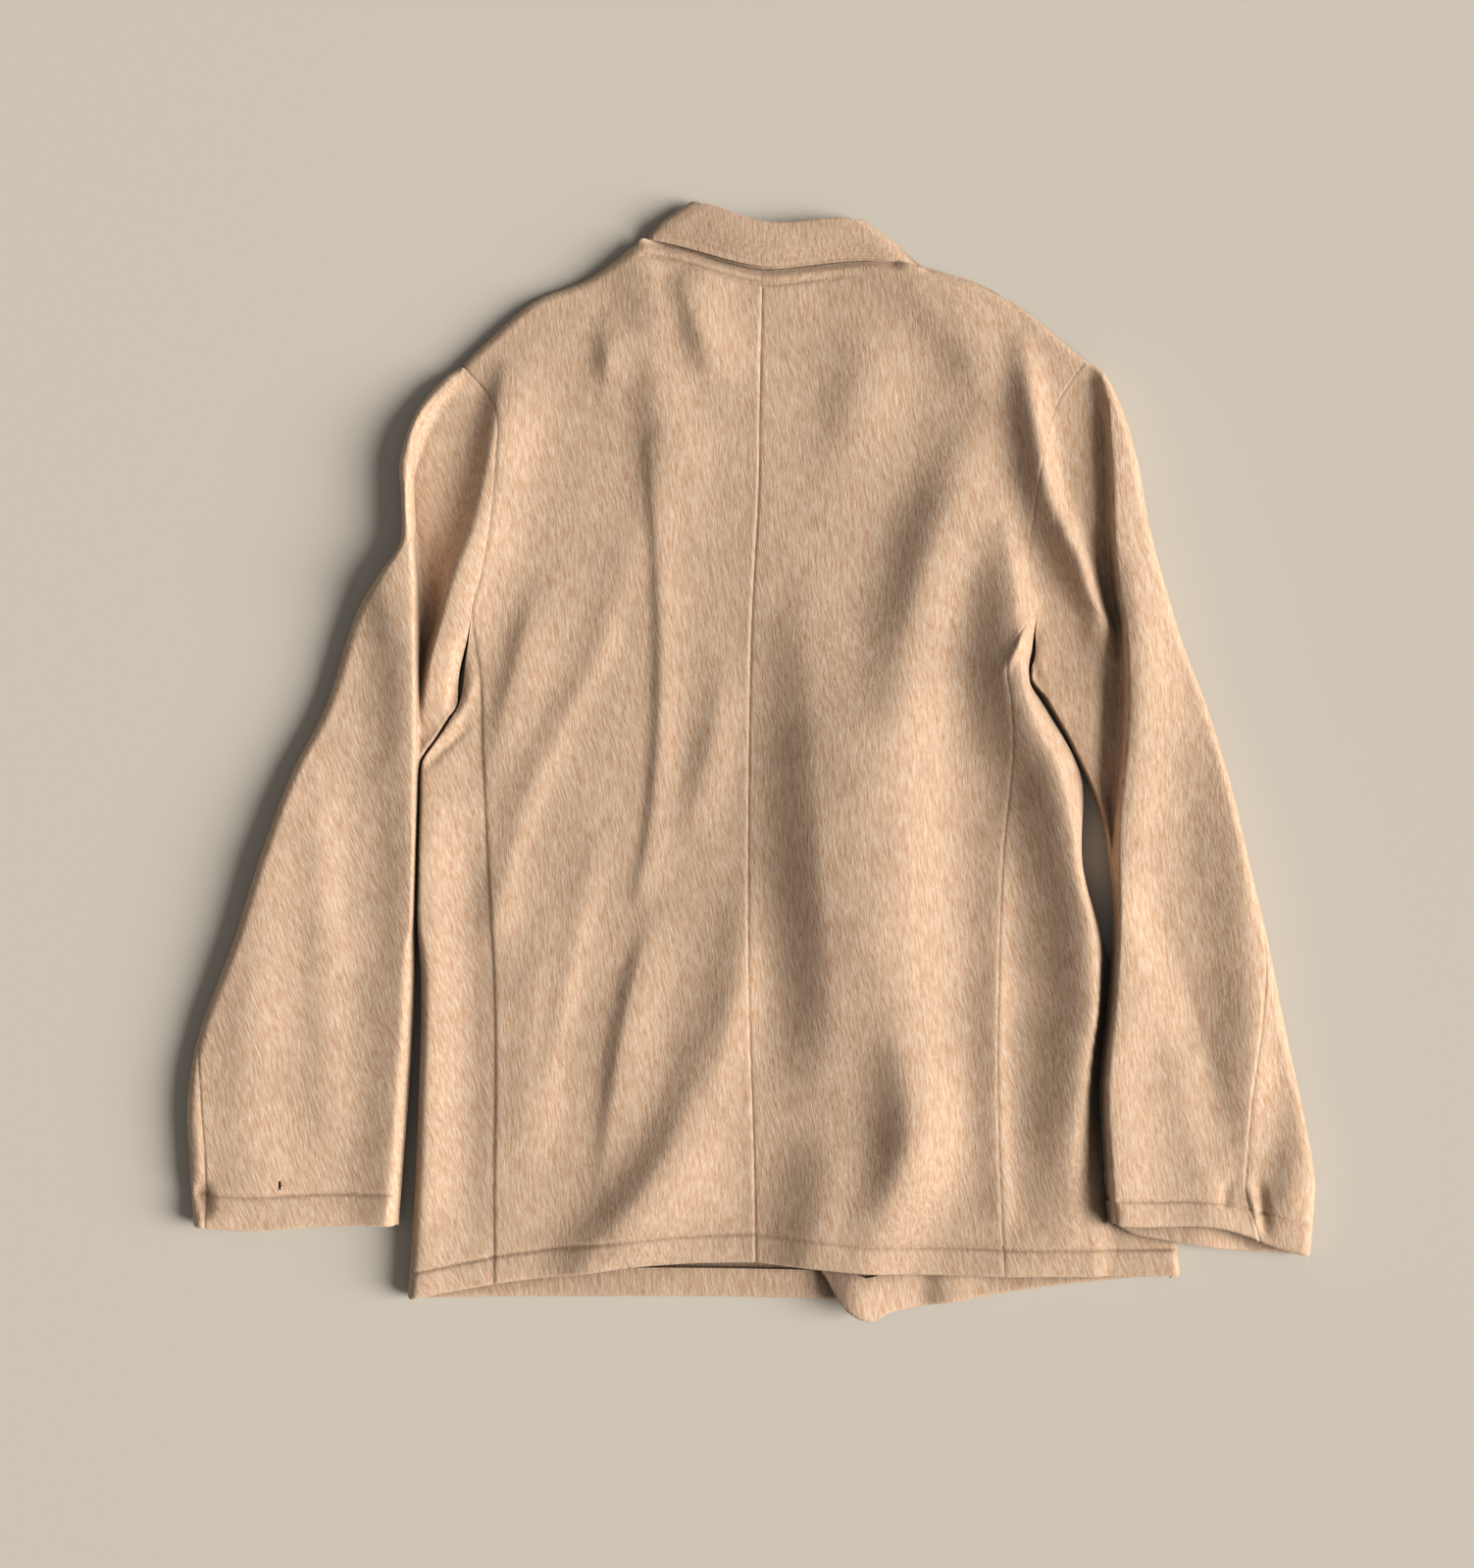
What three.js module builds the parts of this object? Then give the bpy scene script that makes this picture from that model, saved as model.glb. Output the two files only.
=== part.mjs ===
// A thick brushed-wool jacket with a stand collar, laid face down on a flat surface.
// Millimetres, +Z up. The collar points along +Y and the wearer's left is on -X.
// Each piece is a wall of cloth: its outer face is worked out first and the wall lies inside it.
import * as THREE from 'three';

const wall = 2.6; // thickness of the cloth
const gap = 0.3; // what stays open between two pieces at a seam
const outerGap = 0.6; // half of what stays open at a sleeve's outer seam, which twists over the edge
const crown = 14.5; // usual height of the back's outer face
const lowest = 9.3; // least height of it, clear of the fronts below
const roll = 9; // how far in from a folded edge the cloth starts to curve down
const overlapLift = 3.2; // the right front lies this high where it crosses the left front
const pressed = 9.4; // height of the body's side where the right sleeve lies on it
const sleeveCrown = 17; // usual height of a sleeve's upper face
const sleeveLift = 10.2; // underside of the right sleeve where it lies on the body
const seamBehind = 1; // how far behind the fold the left shoulder seam lies
const sideRows = 2; // rows of facets for each row of a side panel's table
const sleeveRows = 1; // and of a sleeve's
const collarRows = 1; // and of the collar's
const shoulderColumns = 6; // columns of facets across a shoulder
const hemLevel = -375; // y near the hem, where a panel's columns are shared out
const cloth = { color: 0xd2b08c, roughness: 0.95, metalness: 0 };

const { clamp, lerp, smoothstep } = THREE.MathUtils;

// Lines given by height: y, x.
const centreBack = [[-370, 4], [-290, 3], [-157, -1], [-17, -1], [95, 1], [193, 6], [263, 7], [351, 9]];
const backSideLeft = [[-380, -183], [-300, -183], [-227, -182], [-157, -183], [-80, -187], [0, -191],
  [60, -193], [106, -198], [130, -192], [155, -187], [185, -183], [212, -181], [242, -180],
  [263, -189], [283, -206], [300, -212], [371, -212]];
const backSideRight = [[-380, 182], [-300, 178], [-225, 176], [-150, 177], [-70, 180], [0, 186],
  [40, 184], [69, 181], [90, 190], [109, 205], [132, 200], [151, 199], [183, 203], [206, 206],
  [252, 218], [275, 232], [290, 242], [351, 242]];
const frontSideLeft = [[-390, -155], [-230, -156], [-80, -158], [0, -160], [60, -172], [106, -198],
  [130, -192], [155, -187], [185, -183], [212, -181], [242, -180], [263, -189], [283, -206],
  [300, -212], [371, -212]];
const frontSideRight = [[-400, 282], [-300, 274], [-225, 250], [-150, 221], [-75, 200], [0, 190],
  [60, 188], [85, 191], [109, 205], [132, 200], [151, 199], [183, 203], [206, 206], [252, 218], [275, 232],
  [290, 242], [351, 242]];
const frontEdgeLeft = [[-400, 74], [268, 34]];
const frontEdgeRight = [[-400, 51], [268, 12]];

// Lines given across: x, y.
const hemBackLeft = [[-183, -374], [-115, -365], [-60, -360], [4, -358]];
const hemBackRight = [[4, -358], [52, -362], [95, -366], [182, -369]];
const hemFrontLeft = [[-155, -384], [-40, -384], [74, -386]];
const hemFrontRight = [[51, -362], [56, -371], [62, -383], [72, -395], [83, -400], [98, -394],
  [136, -389], [192, -380], [248, -373], [282, -370]];

// Edges where the cloth turns over or meets the collar, as points x, y.
const shoulderFoldLeft = [[-206, 283], [-185, 303], [-154, 329], [-115, 345], [-82, 369.5]];
const shoulderFoldRight = [[240, 287], [224, 300], [199, 321], [177, 333], [157, 342], [126, 351]];
const shoulderSeamRight = [[233, 276], [219, 290], [205, 306], [193, 319], [177, 331.6], [157, 341],
  [126, 350]];

// Side panels from the armhole down: the height of the seam behind, the folded edge, and the
// height of the seam below. The seams' own places come from their lines.
const sideLeft = [
  { seamY: 105.5, edgeX: -209.6, edgeY: 37, frontY: 105.5 },
  { seamY: 60, edgeX: -230, edgeY: 2, frontY: 60 },
  { seamY: 0, edgeX: -231, edgeY: -40, frontY: 0 },
  { seamY: -80, edgeX: -231, edgeY: -105, frontY: -80 },
  { seamY: -157, edgeX: -231, edgeY: -172, frontY: -160 },
  { seamY: -227, edgeX: -233, edgeY: -240, frontY: -230 },
  { seamY: -300, edgeX: -239, edgeY: -312, frontY: -308 },
  { seamY: -374, edgeX: -245, edgeY: -385, frontY: -384 },
];
const sideRight = [
  { seamY: 108, edgeX: 198.6, edgeY: 58, frontY: 108 },
  { seamY: 69, edgeX: 215, edgeY: 32, frontY: 60 },
  { seamY: 0, edgeX: 237, edgeY: -12, frontY: 0 },
  { seamY: -70, edgeX: 237, edgeY: -78, frontY: -75 },
  { seamY: -150, edgeX: 260, edgeY: -150, frontY: -150 },
  { seamY: -225, edgeX: 284, edgeY: -225, frontY: -225 },
  { seamY: -300, edgeX: 300, edgeY: -300, frontY: -300 },
  { seamY: -369, edgeX: 308, edgeY: -369, frontY: -370 },
];

// Sleeves from the shoulder to the cuff. The outer edge and the inner line (the armhole, then
// the inner edge) are points; edgeX is where the ridge drops off, ridge is how far it stands
// up, foot is the height of the cloth beside it, and turn is how far the outer seam comes
// over the edge.
const underarmRow = 8;
const sleeveLeft = [
  { outX: -208, outY: 281.5, inX: -204, inY: 280, edgeX: -207, ridge: 0, foot: 14, turn: 1 },
  { outX: -222, outY: 270, inX: -189, inY: 263, edgeX: -212, ridge: 1, foot: 14, turn: 1 },
  { outX: -239, outY: 248, inX: -180, inY: 242, edgeX: -227, ridge: 2, foot: 14, turn: 1 },
  { outX: -250, outY: 215, inX: -181, inY: 212, edgeX: -236, ridge: 4, foot: 13, turn: 1 },
  { outX: -249, outY: 187, inX: -183, inY: 185, edgeX: -240, ridge: 6, foot: 11, turn: 1 },
  { outX: -250, outY: 155, inX: -187, inY: 155, edgeX: -239, ridge: 8, foot: 8, turn: 1 },
  { outX: -266, outY: 131, inX: -192, inY: 130, edgeX: -237, ridge: 9, foot: 6, turn: 1 },
  { outX: -283, outY: 102, inX: -198, inY: 106, edgeX: -236, ridge: 9, foot: 6, turn: 1 },
  { outX: -303, outY: 40, inX: -210, inY: 43, edgeX: -235, ridge: 9, foot: 7, turn: 1 },
  { outX: -328, outY: -10, inX: -232, inY: 4, edgeX: -237, ridge: 8, foot: 9, turn: 1 },
  { outX: -349, outY: -66, inX: -234, inY: -50, edgeX: -240, ridge: 6, foot: 12, turn: 1 },
  { outX: -370, outY: -131, inX: -235, inY: -115, edgeX: -241, ridge: 5, foot: 12, turn: 1 },
  { outX: -393, outY: -192, inX: -238, inY: -185, edgeX: -244, ridge: 4, foot: 12, turn: 2 },
  { outX: -402, outY: -240, inX: -241, inY: -240, edgeX: -247, ridge: 4, foot: 12, turn: 11 },
  { outX: -401, outY: -285, inX: -244, inY: -285, edgeX: -250, ridge: 4, foot: 12, turn: 13 },
  { outX: -398, outY: -333, inX: -249, inY: -331, edgeX: -255, ridge: 4, foot: 12, turn: 8 },
];
const sleeveRight = [
  { outX: 242, outY: 285.5, inX: 238.5, inY: 283, edgeX: 241, ridge: 0, foot: 14, turn: 1 },
  { outX: 254, outY: 275, inX: 231, inY: 274, edgeX: 246, ridge: 1, foot: 14, turn: 1 },
  { outX: 267, outY: 247, inX: 218, inY: 252, edgeX: 252, ridge: 4, foot: 13, turn: 1 },
  { outX: 277, outY: 212, inX: 207, inY: 212, edgeX: 254, ridge: 7, foot: 11, turn: 1 },
  { outX: 283, outY: 179, inX: 203, inY: 183, edgeX: 255, ridge: 8, foot: 9, turn: 1 },
  { outX: 290, outY: 148, inX: 199, inY: 151, edgeX: 256, ridge: 8, foot: 8, turn: 1 },
  { outX: 301, outY: 110, inX: 201, inY: 128, edgeX: 257, ridge: 8, foot: 8, turn: 1 },
  { outX: 309, outY: 84, inX: 205, inY: 109, edgeX: 259, ridge: 8, foot: 8, turn: 1 },
  { outX: 328, outY: 34, inX: 201, inY: 64, edgeX: 264, ridge: 8, foot: 9, turn: 1 },
  { outX: 344, outY: -20, inX: 227, inY: 14, edgeX: 263, ridge: 7, foot: 9, turn: 1 },
  { outX: 357, outY: -76, inX: 249, inY: -38, edgeX: 258, ridge: 5, foot: 10, turn: 1 },
  { outX: 370, outY: -130, inX: 256, inY: -95, edgeX: 262, ridge: 4, foot: 17.5, turn: 3 },
  { outX: 381, outY: -185, inX: 252, inY: -165, edgeX: 258, ridge: 2, foot: 20, turn: 13 },
  { outX: 394, outY: -245, inX: 246, inY: -232, edgeX: 252, ridge: 2, foot: 20, turn: 29 },
  { outX: 403, outY: -296, inX: 250, inY: -283, edgeX: 256, ridge: 2, foot: 20, turn: 44 },
  { outX: 400, outY: -355, inX: 255, inY: -332, edgeX: 261, ridge: 2, foot: 20, turn: 50 },
];

// The stand collar from its left end, under the back, round to its right end: the seam, the
// top edge and the height of the outer face. face is -1 below, 0 at a fold and 1 above.
const collar = [
  { seamX: 34, seamY: 268.4, topX: 35, topY: 301, z: 0, face: -1 },
  { seamX: 0, seamY: 271.4, topX: 5, topY: 304, z: 0, face: -1 },
  { seamX: -35, seamY: 283.5, topX: -22, topY: 313, z: 0, face: -1 },
  { seamX: -61.6, seamY: 308.4, topX: -36, topY: 328, z: 0, face: -1 },
  { seamX: -75, seamY: 340, topX: -43, topY: 352, z: 0, face: -1 },
  { seamX: -76, seamY: 362, topX: -40, topY: 387, z: 1, face: -1 },
  { seamX: -80, seamY: 371.6, topX: -42, topY: 400, z: 6.5, face: 0 },
  { seamX: -74, seamY: 370.8, topX: -36, topY: 398, z: 12, face: 1 },
  { seamX: -56, seamY: 367.5, topX: -24, topY: 396, z: 13, face: 1 },
  { seamX: -34, seamY: 361.5, topX: -11, topY: 391, z: 13, face: 1 },
  { seamX: -12, seamY: 355.5, topX: 2, topY: 387, z: 13, face: 1 },
  { seamX: 9, seamY: 351.5, topX: 15, topY: 385, z: 13, face: 1 },
  { seamX: 30, seamY: 352.5, topX: 30, topY: 385, z: 13, face: 1 },
  { seamX: 55, seamY: 355.5, topX: 47, topY: 387, z: 13, face: 1 },
  { seamX: 83, seamY: 357.5, topX: 61, topY: 388, z: 13, face: 1 },
  { seamX: 106, seamY: 354.5, topX: 71, topY: 387.6, z: 13, face: 1 },
  { seamX: 120, seamY: 351.8, topX: 76, topY: 386.8, z: 12, face: 1 },
  { seamX: 126.5, seamY: 352.3, topX: 81, topY: 387, z: 6.5, face: 0 },
  { seamX: 122, seamY: 341, topX: 78, topY: 375, z: 1, face: -1 },
  { seamX: 122.4, seamY: 325, topX: 88, topY: 343, z: 0, face: -1 },
  { seamX: 107.4, seamY: 298.5, topX: 84, topY: 321, z: 0, face: -1 },
  { seamX: 80, seamY: 279.5, topX: 68, topY: 310, z: 0, face: -1 },
  { seamX: 45, seamY: 270.5, topX: 41, topY: 303, z: 1.5, face: -1 },
  { seamX: 12, seamY: 268.5, topX: 12, topY: 301, z: 3.2, face: -1 },
];

const leftNeckRow = 6;
const middleRow = 11;
const rightNeckRow = 17;

// The largest folds: points x, y along the crest or trough, its height and its reach to the
// left and right of the way it runs.
const bodyFolds = [
  { name: 'long ridge right of centre', path: [[45, 95], [42, 18], [47, -52], [59, -108], [77, -164],
    [103, -213], [114, -255], [100, -307], [82, -365]], rise: 16, left: 34, right: 26 },
  { name: 'slant from the right shoulder blade', path: [[154, 228], [136, 179], [115, 123], [98, 60],
    [80, 11]], rise: 7, left: 16, right: 14 },
  { name: 'right of the neck', path: [[105, 344], [136, 319], [164, 281]], rise: 6, left: 22, right: 22 },
  { name: 'roll along the right side', path: [[185, 130], [196, 67], [215, 4], [232, -59], [237, -110],
    [238, -150]], rise: 13, left: 20, right: 30 },
  { name: 'along the left armhole', path: [[-174, 267], [-176, 207], [-182, 151], [-191, 95],
    [-199, 58]], rise: 7, left: 16, right: 13 },
  { name: 'left shoulder blade', path: [[-44, 333], [-26, 298], [-37, 256], [-52, 228]], rise: 7,
    left: 20, right: 13 },
  { name: 'centre of the upper back', path: [[-21, 214], [0, 165], [7, 109]], rise: 6, left: 30,
    right: 30 },
  { name: 'right shoulder blade', path: [[88, 309], [75, 263], [56, 221]], rise: 5, left: 24, right: 24 },
  { name: 'left slant to the hem', path: [[-9, -213], [-37, -262], [-72, -318], [-89, -362]], rise: 6,
    left: 20, right: 18 },
  { name: 'left slant above it', path: [[-70, -122], [-80, -185], [-96, -262]], rise: 4, left: 14,
    right: 14 },
  { name: 'hollow of the left blade', path: [[-122, 305], [-131, 235], [-135, 151], [-139, 95]],
    rise: -3, left: 26, right: 26 },
  { name: 'hollow left of the long slant', path: [[-21, -150], [-37, -199], [-63, -262], [-100, -318],
    [-133, -346]], rise: -4.5, left: 16, right: 16 },
  { name: 'hollow at the centre of the hem', path: [[14, -248], [5, -297], [1, -362]], rise: -5,
    left: 22, right: 22 },
  { name: 'hollow beside the right roll', path: [[154, 137], [147, 60], [149, -17], [154, -87],
    [166, -164]], rise: -5, left: 24, right: 20 },
  { name: 'hollow beside the right sleeve', path: [[205, -171], [211, -234], [222, -332]], rise: -3.5,
    left: 20, right: 20 },
];
const sleeveFolds = [
  { name: 'outer crest, left', path: [[-352, -87], [-367, -143], [-378, -199], [-377, -262],
    [-373, -333]], rise: 4, left: 26, right: 16 },
  { name: 'trough, left', path: [[-289, -17], [-278, -87], [-271, -157], [-267, -227], [-265, -333]],
    rise: -4, left: 14, right: 22 },
  { name: 'trough, right', path: [[324, -87], [320, -157], [320, -241], [327, -345]], rise: -4,
    left: 22, right: 22 },
  { name: 'outer crest, right', path: [[367, -157], [374, -227], [384, -283], [390, -350]], rise: 4,
    left: 10, right: 22 },
];

// Value of a line at a place along its first column, as a smooth curve through its rows.
function valueAt(line, at) {
  const ordered = line[0][0] < line[line.length - 1][0] ? line : [...line].reverse();
  const last = ordered.length - 1;
  if (at <= ordered[0][0]) return ordered[0][1];
  if (at >= ordered[last][0]) return ordered[last][1];
  let i = 0;
  while (ordered[i + 1][0] < at) i += 1;
  const slope = (k) => {
    const low = Math.max(k - 1, 0);
    const high = Math.min(k + 1, last);
    return (ordered[high][1] - ordered[low][1]) / (ordered[high][0] - ordered[low][0]);
  };
  const width = ordered[i + 1][0] - ordered[i][0];
  const t = (at - ordered[i][0]) / width;
  const bend = t * (1 - t) * width * (slope(i) * (1 - t) - slope(i + 1) * t);
  const straight = (ordered[i + 1][1] - ordered[i][1]) * t * t * (3 - 2 * t);
  return ordered[i][1] + straight + bend;
}

// A row between the rows of a table of sections; at counts rows, such as 2.5.
function rowAt(table, at) {
  const row = {};
  for (const key of Object.keys(table[0])) {
    row[key] = valueAt(table.map((entry, i) => [i, entry[key]]), at);
  }
  return row;
}

function pointsAlong(line, count) {
  const curve = new THREE.SplineCurve(line.map(([x, y]) => new THREE.Vector2(x, y)));
  return curve.getSpacedPoints(count).map((p) => [p.x, p.y]);
}

// Nearest place on a line of points: how far it is, on which side, and how far along (0 to 1).
function nearest(line, x, y) {
  let best = { distance: Infinity, side: 1, along: 0 };
  for (let i = 0; i + 1 < line.length; i += 1) {
    const dx = line[i + 1][0] - line[i][0];
    const dy = line[i + 1][1] - line[i][1];
    const t = clamp(((x - line[i][0]) * dx + (y - line[i][1]) * dy) / (dx * dx + dy * dy), 0, 1);
    const offX = x - line[i][0] - dx * t;
    const offY = y - line[i][1] - dy * t;
    const distance = Math.hypot(offX, offY);
    if (distance < best.distance) {
      best = { distance, side: Math.sign(dx * offY - dy * offX) || 1, along: (i + t) / (line.length - 1) };
    }
  }
  return best;
}

function foldHeight(folds, x, y) {
  let height = 0;
  for (const fold of folds) {
    fold.line ??= pointsAlong(fold.path, 12);
    const { distance, side, along } = nearest(fold.line, x, y);
    const reach = side > 0 ? fold.left : fold.right;
    const fade = smoothstep(along, -0.15, 0.2) * smoothstep(1 - along, -0.15, 0.2);
    height += fold.rise * fade * Math.exp(-((distance / reach) ** 2));
  }
  return height;
}

// Heights of the faces that a hand would feel: the back, the underside and each sleeve.
const sideEdgeRight = sideRight.map((row) => [row.edgeY, row.edgeX]);
const sleeveInnerRight = sleeveRight.slice(underarmRow).map((row) => [row.inY, row.inX]);

function backHeight(x, y) {
  const free = Math.max(lowest, crown + foldHeight(bodyFolds, x, y));
  if (y > -70) return free;
  const under = smoothstep(x, valueAt(sleeveInnerRight, y) - 60, valueAt(sleeveInnerRight, y) - 34);
  return lerp(free, pressed, under * smoothstep(-y, 70, 115));
}

function frontHeight(side, x, y) {
  if (side < 0) return 0;
  const edge = valueAt(frontEdgeLeft, y);
  return overlapLift * (1 - smoothstep(x, edge + 30, edge + 75));
}

function sleeveUnderside(side, x, y) {
  if (side < 0) return 0;
  const edge = valueAt(sideEdgeRight, y);
  return sleeveLift * (1 - smoothstep(x, edge + 14, edge + 50)) * smoothstep(-y, 60, 100);
}

function sleeveHeight(side, row, x, y, toInner) {
  const lift = sleeveUnderside(side, x, y);
  const across = side * (x - row.edgeX);
  const onRidge = smoothstep(across, -1.2, 1.2);
  const ridge = row.ridge * Math.exp(-((Math.max(across, 0) / 20) ** 2));
  const outside = sleeveCrown + ridge + 0.7 * lift + foldHeight(sleeveFolds, x, y);
  const length = Math.max(side * (row.edgeX - row.inX), 1);
  const climb = smoothstep(-across / length, 0, 1);
  const inside = lerp(row.foot, backHeight(x, y), row.closed ? 0 : climb);
  const height = lerp(inside, outside, onRidge);
  const joined = row.closed ? 0 : 1 - smoothstep(toInner, 0, 26);
  return lerp(height, backHeight(x, y), joined);
}

// A point on a folded edge: inset from the crest, on the upper (face 1) or lower (-1) side.
// inward is a unit vector from the crest into the piece.
function foldPoint(crest, inward, inset, face, top, bottom) {
  const x = crest[0] + inward[0] * inset;
  const y = crest[1] + inward[1] * inset;
  const high = top(x, y);
  const low = bottom(x, y);
  const half = (high - low) / 2;
  const reach = Math.min(roll, half * 1.1);
  const cosine = 1 - Math.min(inset / reach, 1);
  const sine = Math.sqrt(1 - cosine * cosine);
  const out = new THREE.Vector3(-inward[0] * cosine / reach, -inward[1] * cosine / reach, face * sine / half);
  const curved = cosine > 0 || face < 0;
  return { x, y, z: low + half * (1 + face * sine), normal: out.normalize(), curved };
}

function unit(from, to) {
  const length = Math.hypot(to[0] - from[0], to[1] - from[1]) || 1;
  return [(to[0] - from[0]) / length, (to[1] - from[1]) / length, length];
}

// Closes a grid of outer points into a wall. Each point states the normal of the form it lies
// on; the wall follows it at the rims and in the folds, and the grid's own slope elsewhere.
function wallFrom(grid) {
  const rows = grid.length;
  const columns = grid[0].length;
  const at = (r, c) => {
    const p = grid[clamp(r, 0, rows - 1)][clamp(c, 0, columns - 1)];
    return new THREE.Vector3(p.x, p.y, p.z);
  };
  const normals = grid.map((line, r) => line.map((p, c) => {
    const across = at(r, c + 1).sub(at(r, c - 1));
    const along = at(r + 1, c).sub(at(r - 1, c));
    return across.cross(along).normalize();
  }));
  // The grid's own normals must point the same way as the ones that seams state.
  let agree = 0;
  grid.forEach((line, r) => line.forEach((p, c) => {
    agree += p.normal.dot(normals[r][c]);
  }));
  const outward = agree < 0 ? -1 : 1;
  const vertices = [];
  const put = (p, n, depth) => vertices.push(p.x - n.x * depth, p.y - n.y * depth, p.z - n.z * depth);
  for (const depth of [0, wall]) {
    grid.forEach((line, r) => line.forEach((p, c) => {
      const onRim = r === 0 || r === rows - 1 || c === 0 || c === columns - 1;
      const stated = onRim || p.curved;
      put(p, stated ? p.normal : normals[r][c].clone().multiplyScalar(outward), depth);
    }));
  }
  const size = rows * columns;
  const faces = [];
  const quad = (a, b, c, d) => {
    if (outward > 0) faces.push(a, b, c, a, c, d);
    else faces.push(c, b, a, d, c, a);
  };
  const id = (r, c, inner = 0) => r * columns + c + inner * size;
  for (let r = 0; r + 1 < rows; r += 1) {
    for (let c = 0; c + 1 < columns; c += 1) {
      quad(id(r, c), id(r, c + 1), id(r + 1, c + 1), id(r + 1, c));
      quad(id(r, c, 1), id(r + 1, c, 1), id(r + 1, c + 1, 1), id(r, c + 1, 1));
    }
  }
  for (let c = 0; c + 1 < columns; c += 1) {
    quad(id(0, c, 1), id(0, c + 1, 1), id(0, c + 1), id(0, c));
    quad(id(rows - 1, c), id(rows - 1, c + 1), id(rows - 1, c + 1, 1), id(rows - 1, c, 1));
  }
  for (let r = 0; r + 1 < rows; r += 1) {
    quad(id(r, 0), id(r + 1, 0), id(r + 1, 0, 1), id(r, 0, 1));
    quad(id(r, columns - 1, 1), id(r + 1, columns - 1, 1), id(r + 1, columns - 1), id(r, columns - 1));
  }
  const geometry = new THREE.BufferGeometry();
  geometry.setAttribute('position', new THREE.Float32BufferAttribute(vertices, 3));
  geometry.setIndex(faces);
  return geometry;
}

const up = new THREE.Vector3(0, 0, 1);
const down = new THREE.Vector3(0, 0, -1);
const foldPlaces = [0, 1.2, 4.2, 9]; // how far in from a fold the columns lie

// From the neck over the shoulder and down the sleeve's outer edge.
const outlines = {
  left: [...pointsAlong(shoulderFoldLeft, 14).reverse(),
    ...sleeveLeft.slice(1).map((row) => [row.outX, row.outY])],
  right: [...pointsAlong(shoulderFoldRight, 14).reverse(),
    ...sleeveRight.slice(1).map((row) => [row.outX, row.outY])],
};

function insetFrom(side, x, y) {
  const found = nearest(side < 0 ? outlines.left : outlines.right, x, y);
  return -side * found.side * found.distance;
}

// The outer face near the shoulder's fold, on the upper (face 1) or the lower side (-1).
function shoulderPoint(side, x, y, face) {
  const bottom = (px, py) => frontHeight(side, px, py);
  const inset = insetFrom(side, x, y);
  if (inset >= roll) {
    const flat = { normal: face > 0 ? up : down, curved: face < 0 };
    return { x, y, z: face > 0 ? backHeight(x, y) : bottom(x, y), ...flat };
  }
  const slopeX = insetFrom(side, x + 1, y) - insetFrom(side, x - 1, y);
  const slopeY = insetFrom(side, x, y + 1) - insetFrom(side, x, y - 1);
  const inward = unit([0, 0], [slopeX, slopeY]);
  const crest = [x - inward[0] * inset, y - inward[1] * inset];
  return foldPoint(crest, inward, Math.max(inset, 0), face, backHeight, bottom);
}

// Columns of a body panel hang from the points of its top edge down to the hem.
function columnPlace({ sideLine, centreLine, hem }, [topX, topY], share) {
  const sideX = valueAt(sideLine, topY);
  const centreX = valueAt(centreLine, topY);
  const across = clamp((topX - sideX) / (centreX - sideX), 0, 1);
  const hemX = lerp(valueAt(sideLine, hemLevel), valueAt(centreLine, hemLevel), across);
  const y = lerp(valueAt(hem, hemX), topY, share);
  if (share === 1) return [topX, topY];
  return [lerp(valueAt(sideLine, y), valueAt(centreLine, y), across), y];
}

// Heights of a panel's rows at its side, the same ones that the side panel and sleeve use there.
function seamLevels(side, key) {
  const sideTable = side < 0 ? sideLeft : sideRight;
  const sleeveTable = side < 0 ? sleeveLeft : sleeveRight;
  const list = [];
  for (let r = (sideTable.length - 1) * sideRows; r >= 0; r -= 1) {
    list.push(rowAt(sideTable, r / sideRows)[key]);
  }
  list.pop();
  for (let r = (underarmRow - 1) * sleeveRows; r > 0; r -= 1) {
    list.push(rowAt(sleeveTable, r / sleeveRows).inY);
  }
  return list;
}

const shoulderRows = [6, 2.4, 0]; // the last rows lie this far below the shoulder

function panelGrid(shape, side) {
  const last = shape.top.length - 1;
  const hemY = valueAt(shape.hem, valueAt(shape.sideLine, hemLevel));
  const height = shape.top[0][1] - hemY;
  const heights = seamLevels(side, shape.face > 0 ? 'seamY' : 'frontY').slice(1);
  const panelShares = [0, ...heights.map((y) => (y - hemY) / height),
    ...shoulderRows.map((below) => 1 - below / height)];
  const columns = shape.top.map((top, c) => {
    const shift = c === 0 ? -side * gap / 2 : c === last ? side * gap / 2 : 0;
    const goal = shape.strip?.[c];
    // Only the shoulder's columns go on over the fold; the neck's end with two closer rows.
    const squeeze = shape.strip && !goal ? [1.6, 0.8, 0] : [0];
    const shares = [...panelShares.slice(0, -1), ...squeeze.map((below) => 1 - below / height)];
    const column = shares.map((share) => {
      const [x, y] = columnPlace(shape, top, share);
      return shoulderPoint(side, x + shift, y, shape.face);
    });
    if (goal) {
      for (const share of [0.5, 1]) {
        const [x, y] = [lerp(top[0], goal[0], share) + shift, lerp(top[1], goal[1], share)];
        column.push(shoulderPoint(side, x, y, 1));
      }
    }
    return column;
  });
  return columns[0].map((_, r) => columns.map((column) => column[r]));
}

// The collar's seam between two of its rows, moved out by the gap: the panels' necklines.
function neckline(from, to) {
  const forward = Math.sign(to - from);
  return Array.from({ length: Math.abs(to - from) * collarRows + 1 }, (_, i) => {
    const row = rowAt(collar, from + forward * i / collarRows);
    const [x, y] = unit([row.topX, row.topY], [row.seamX, row.seamY]);
    return [row.seamX + x * gap, row.seamY + y * gap];
  });
}

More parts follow.
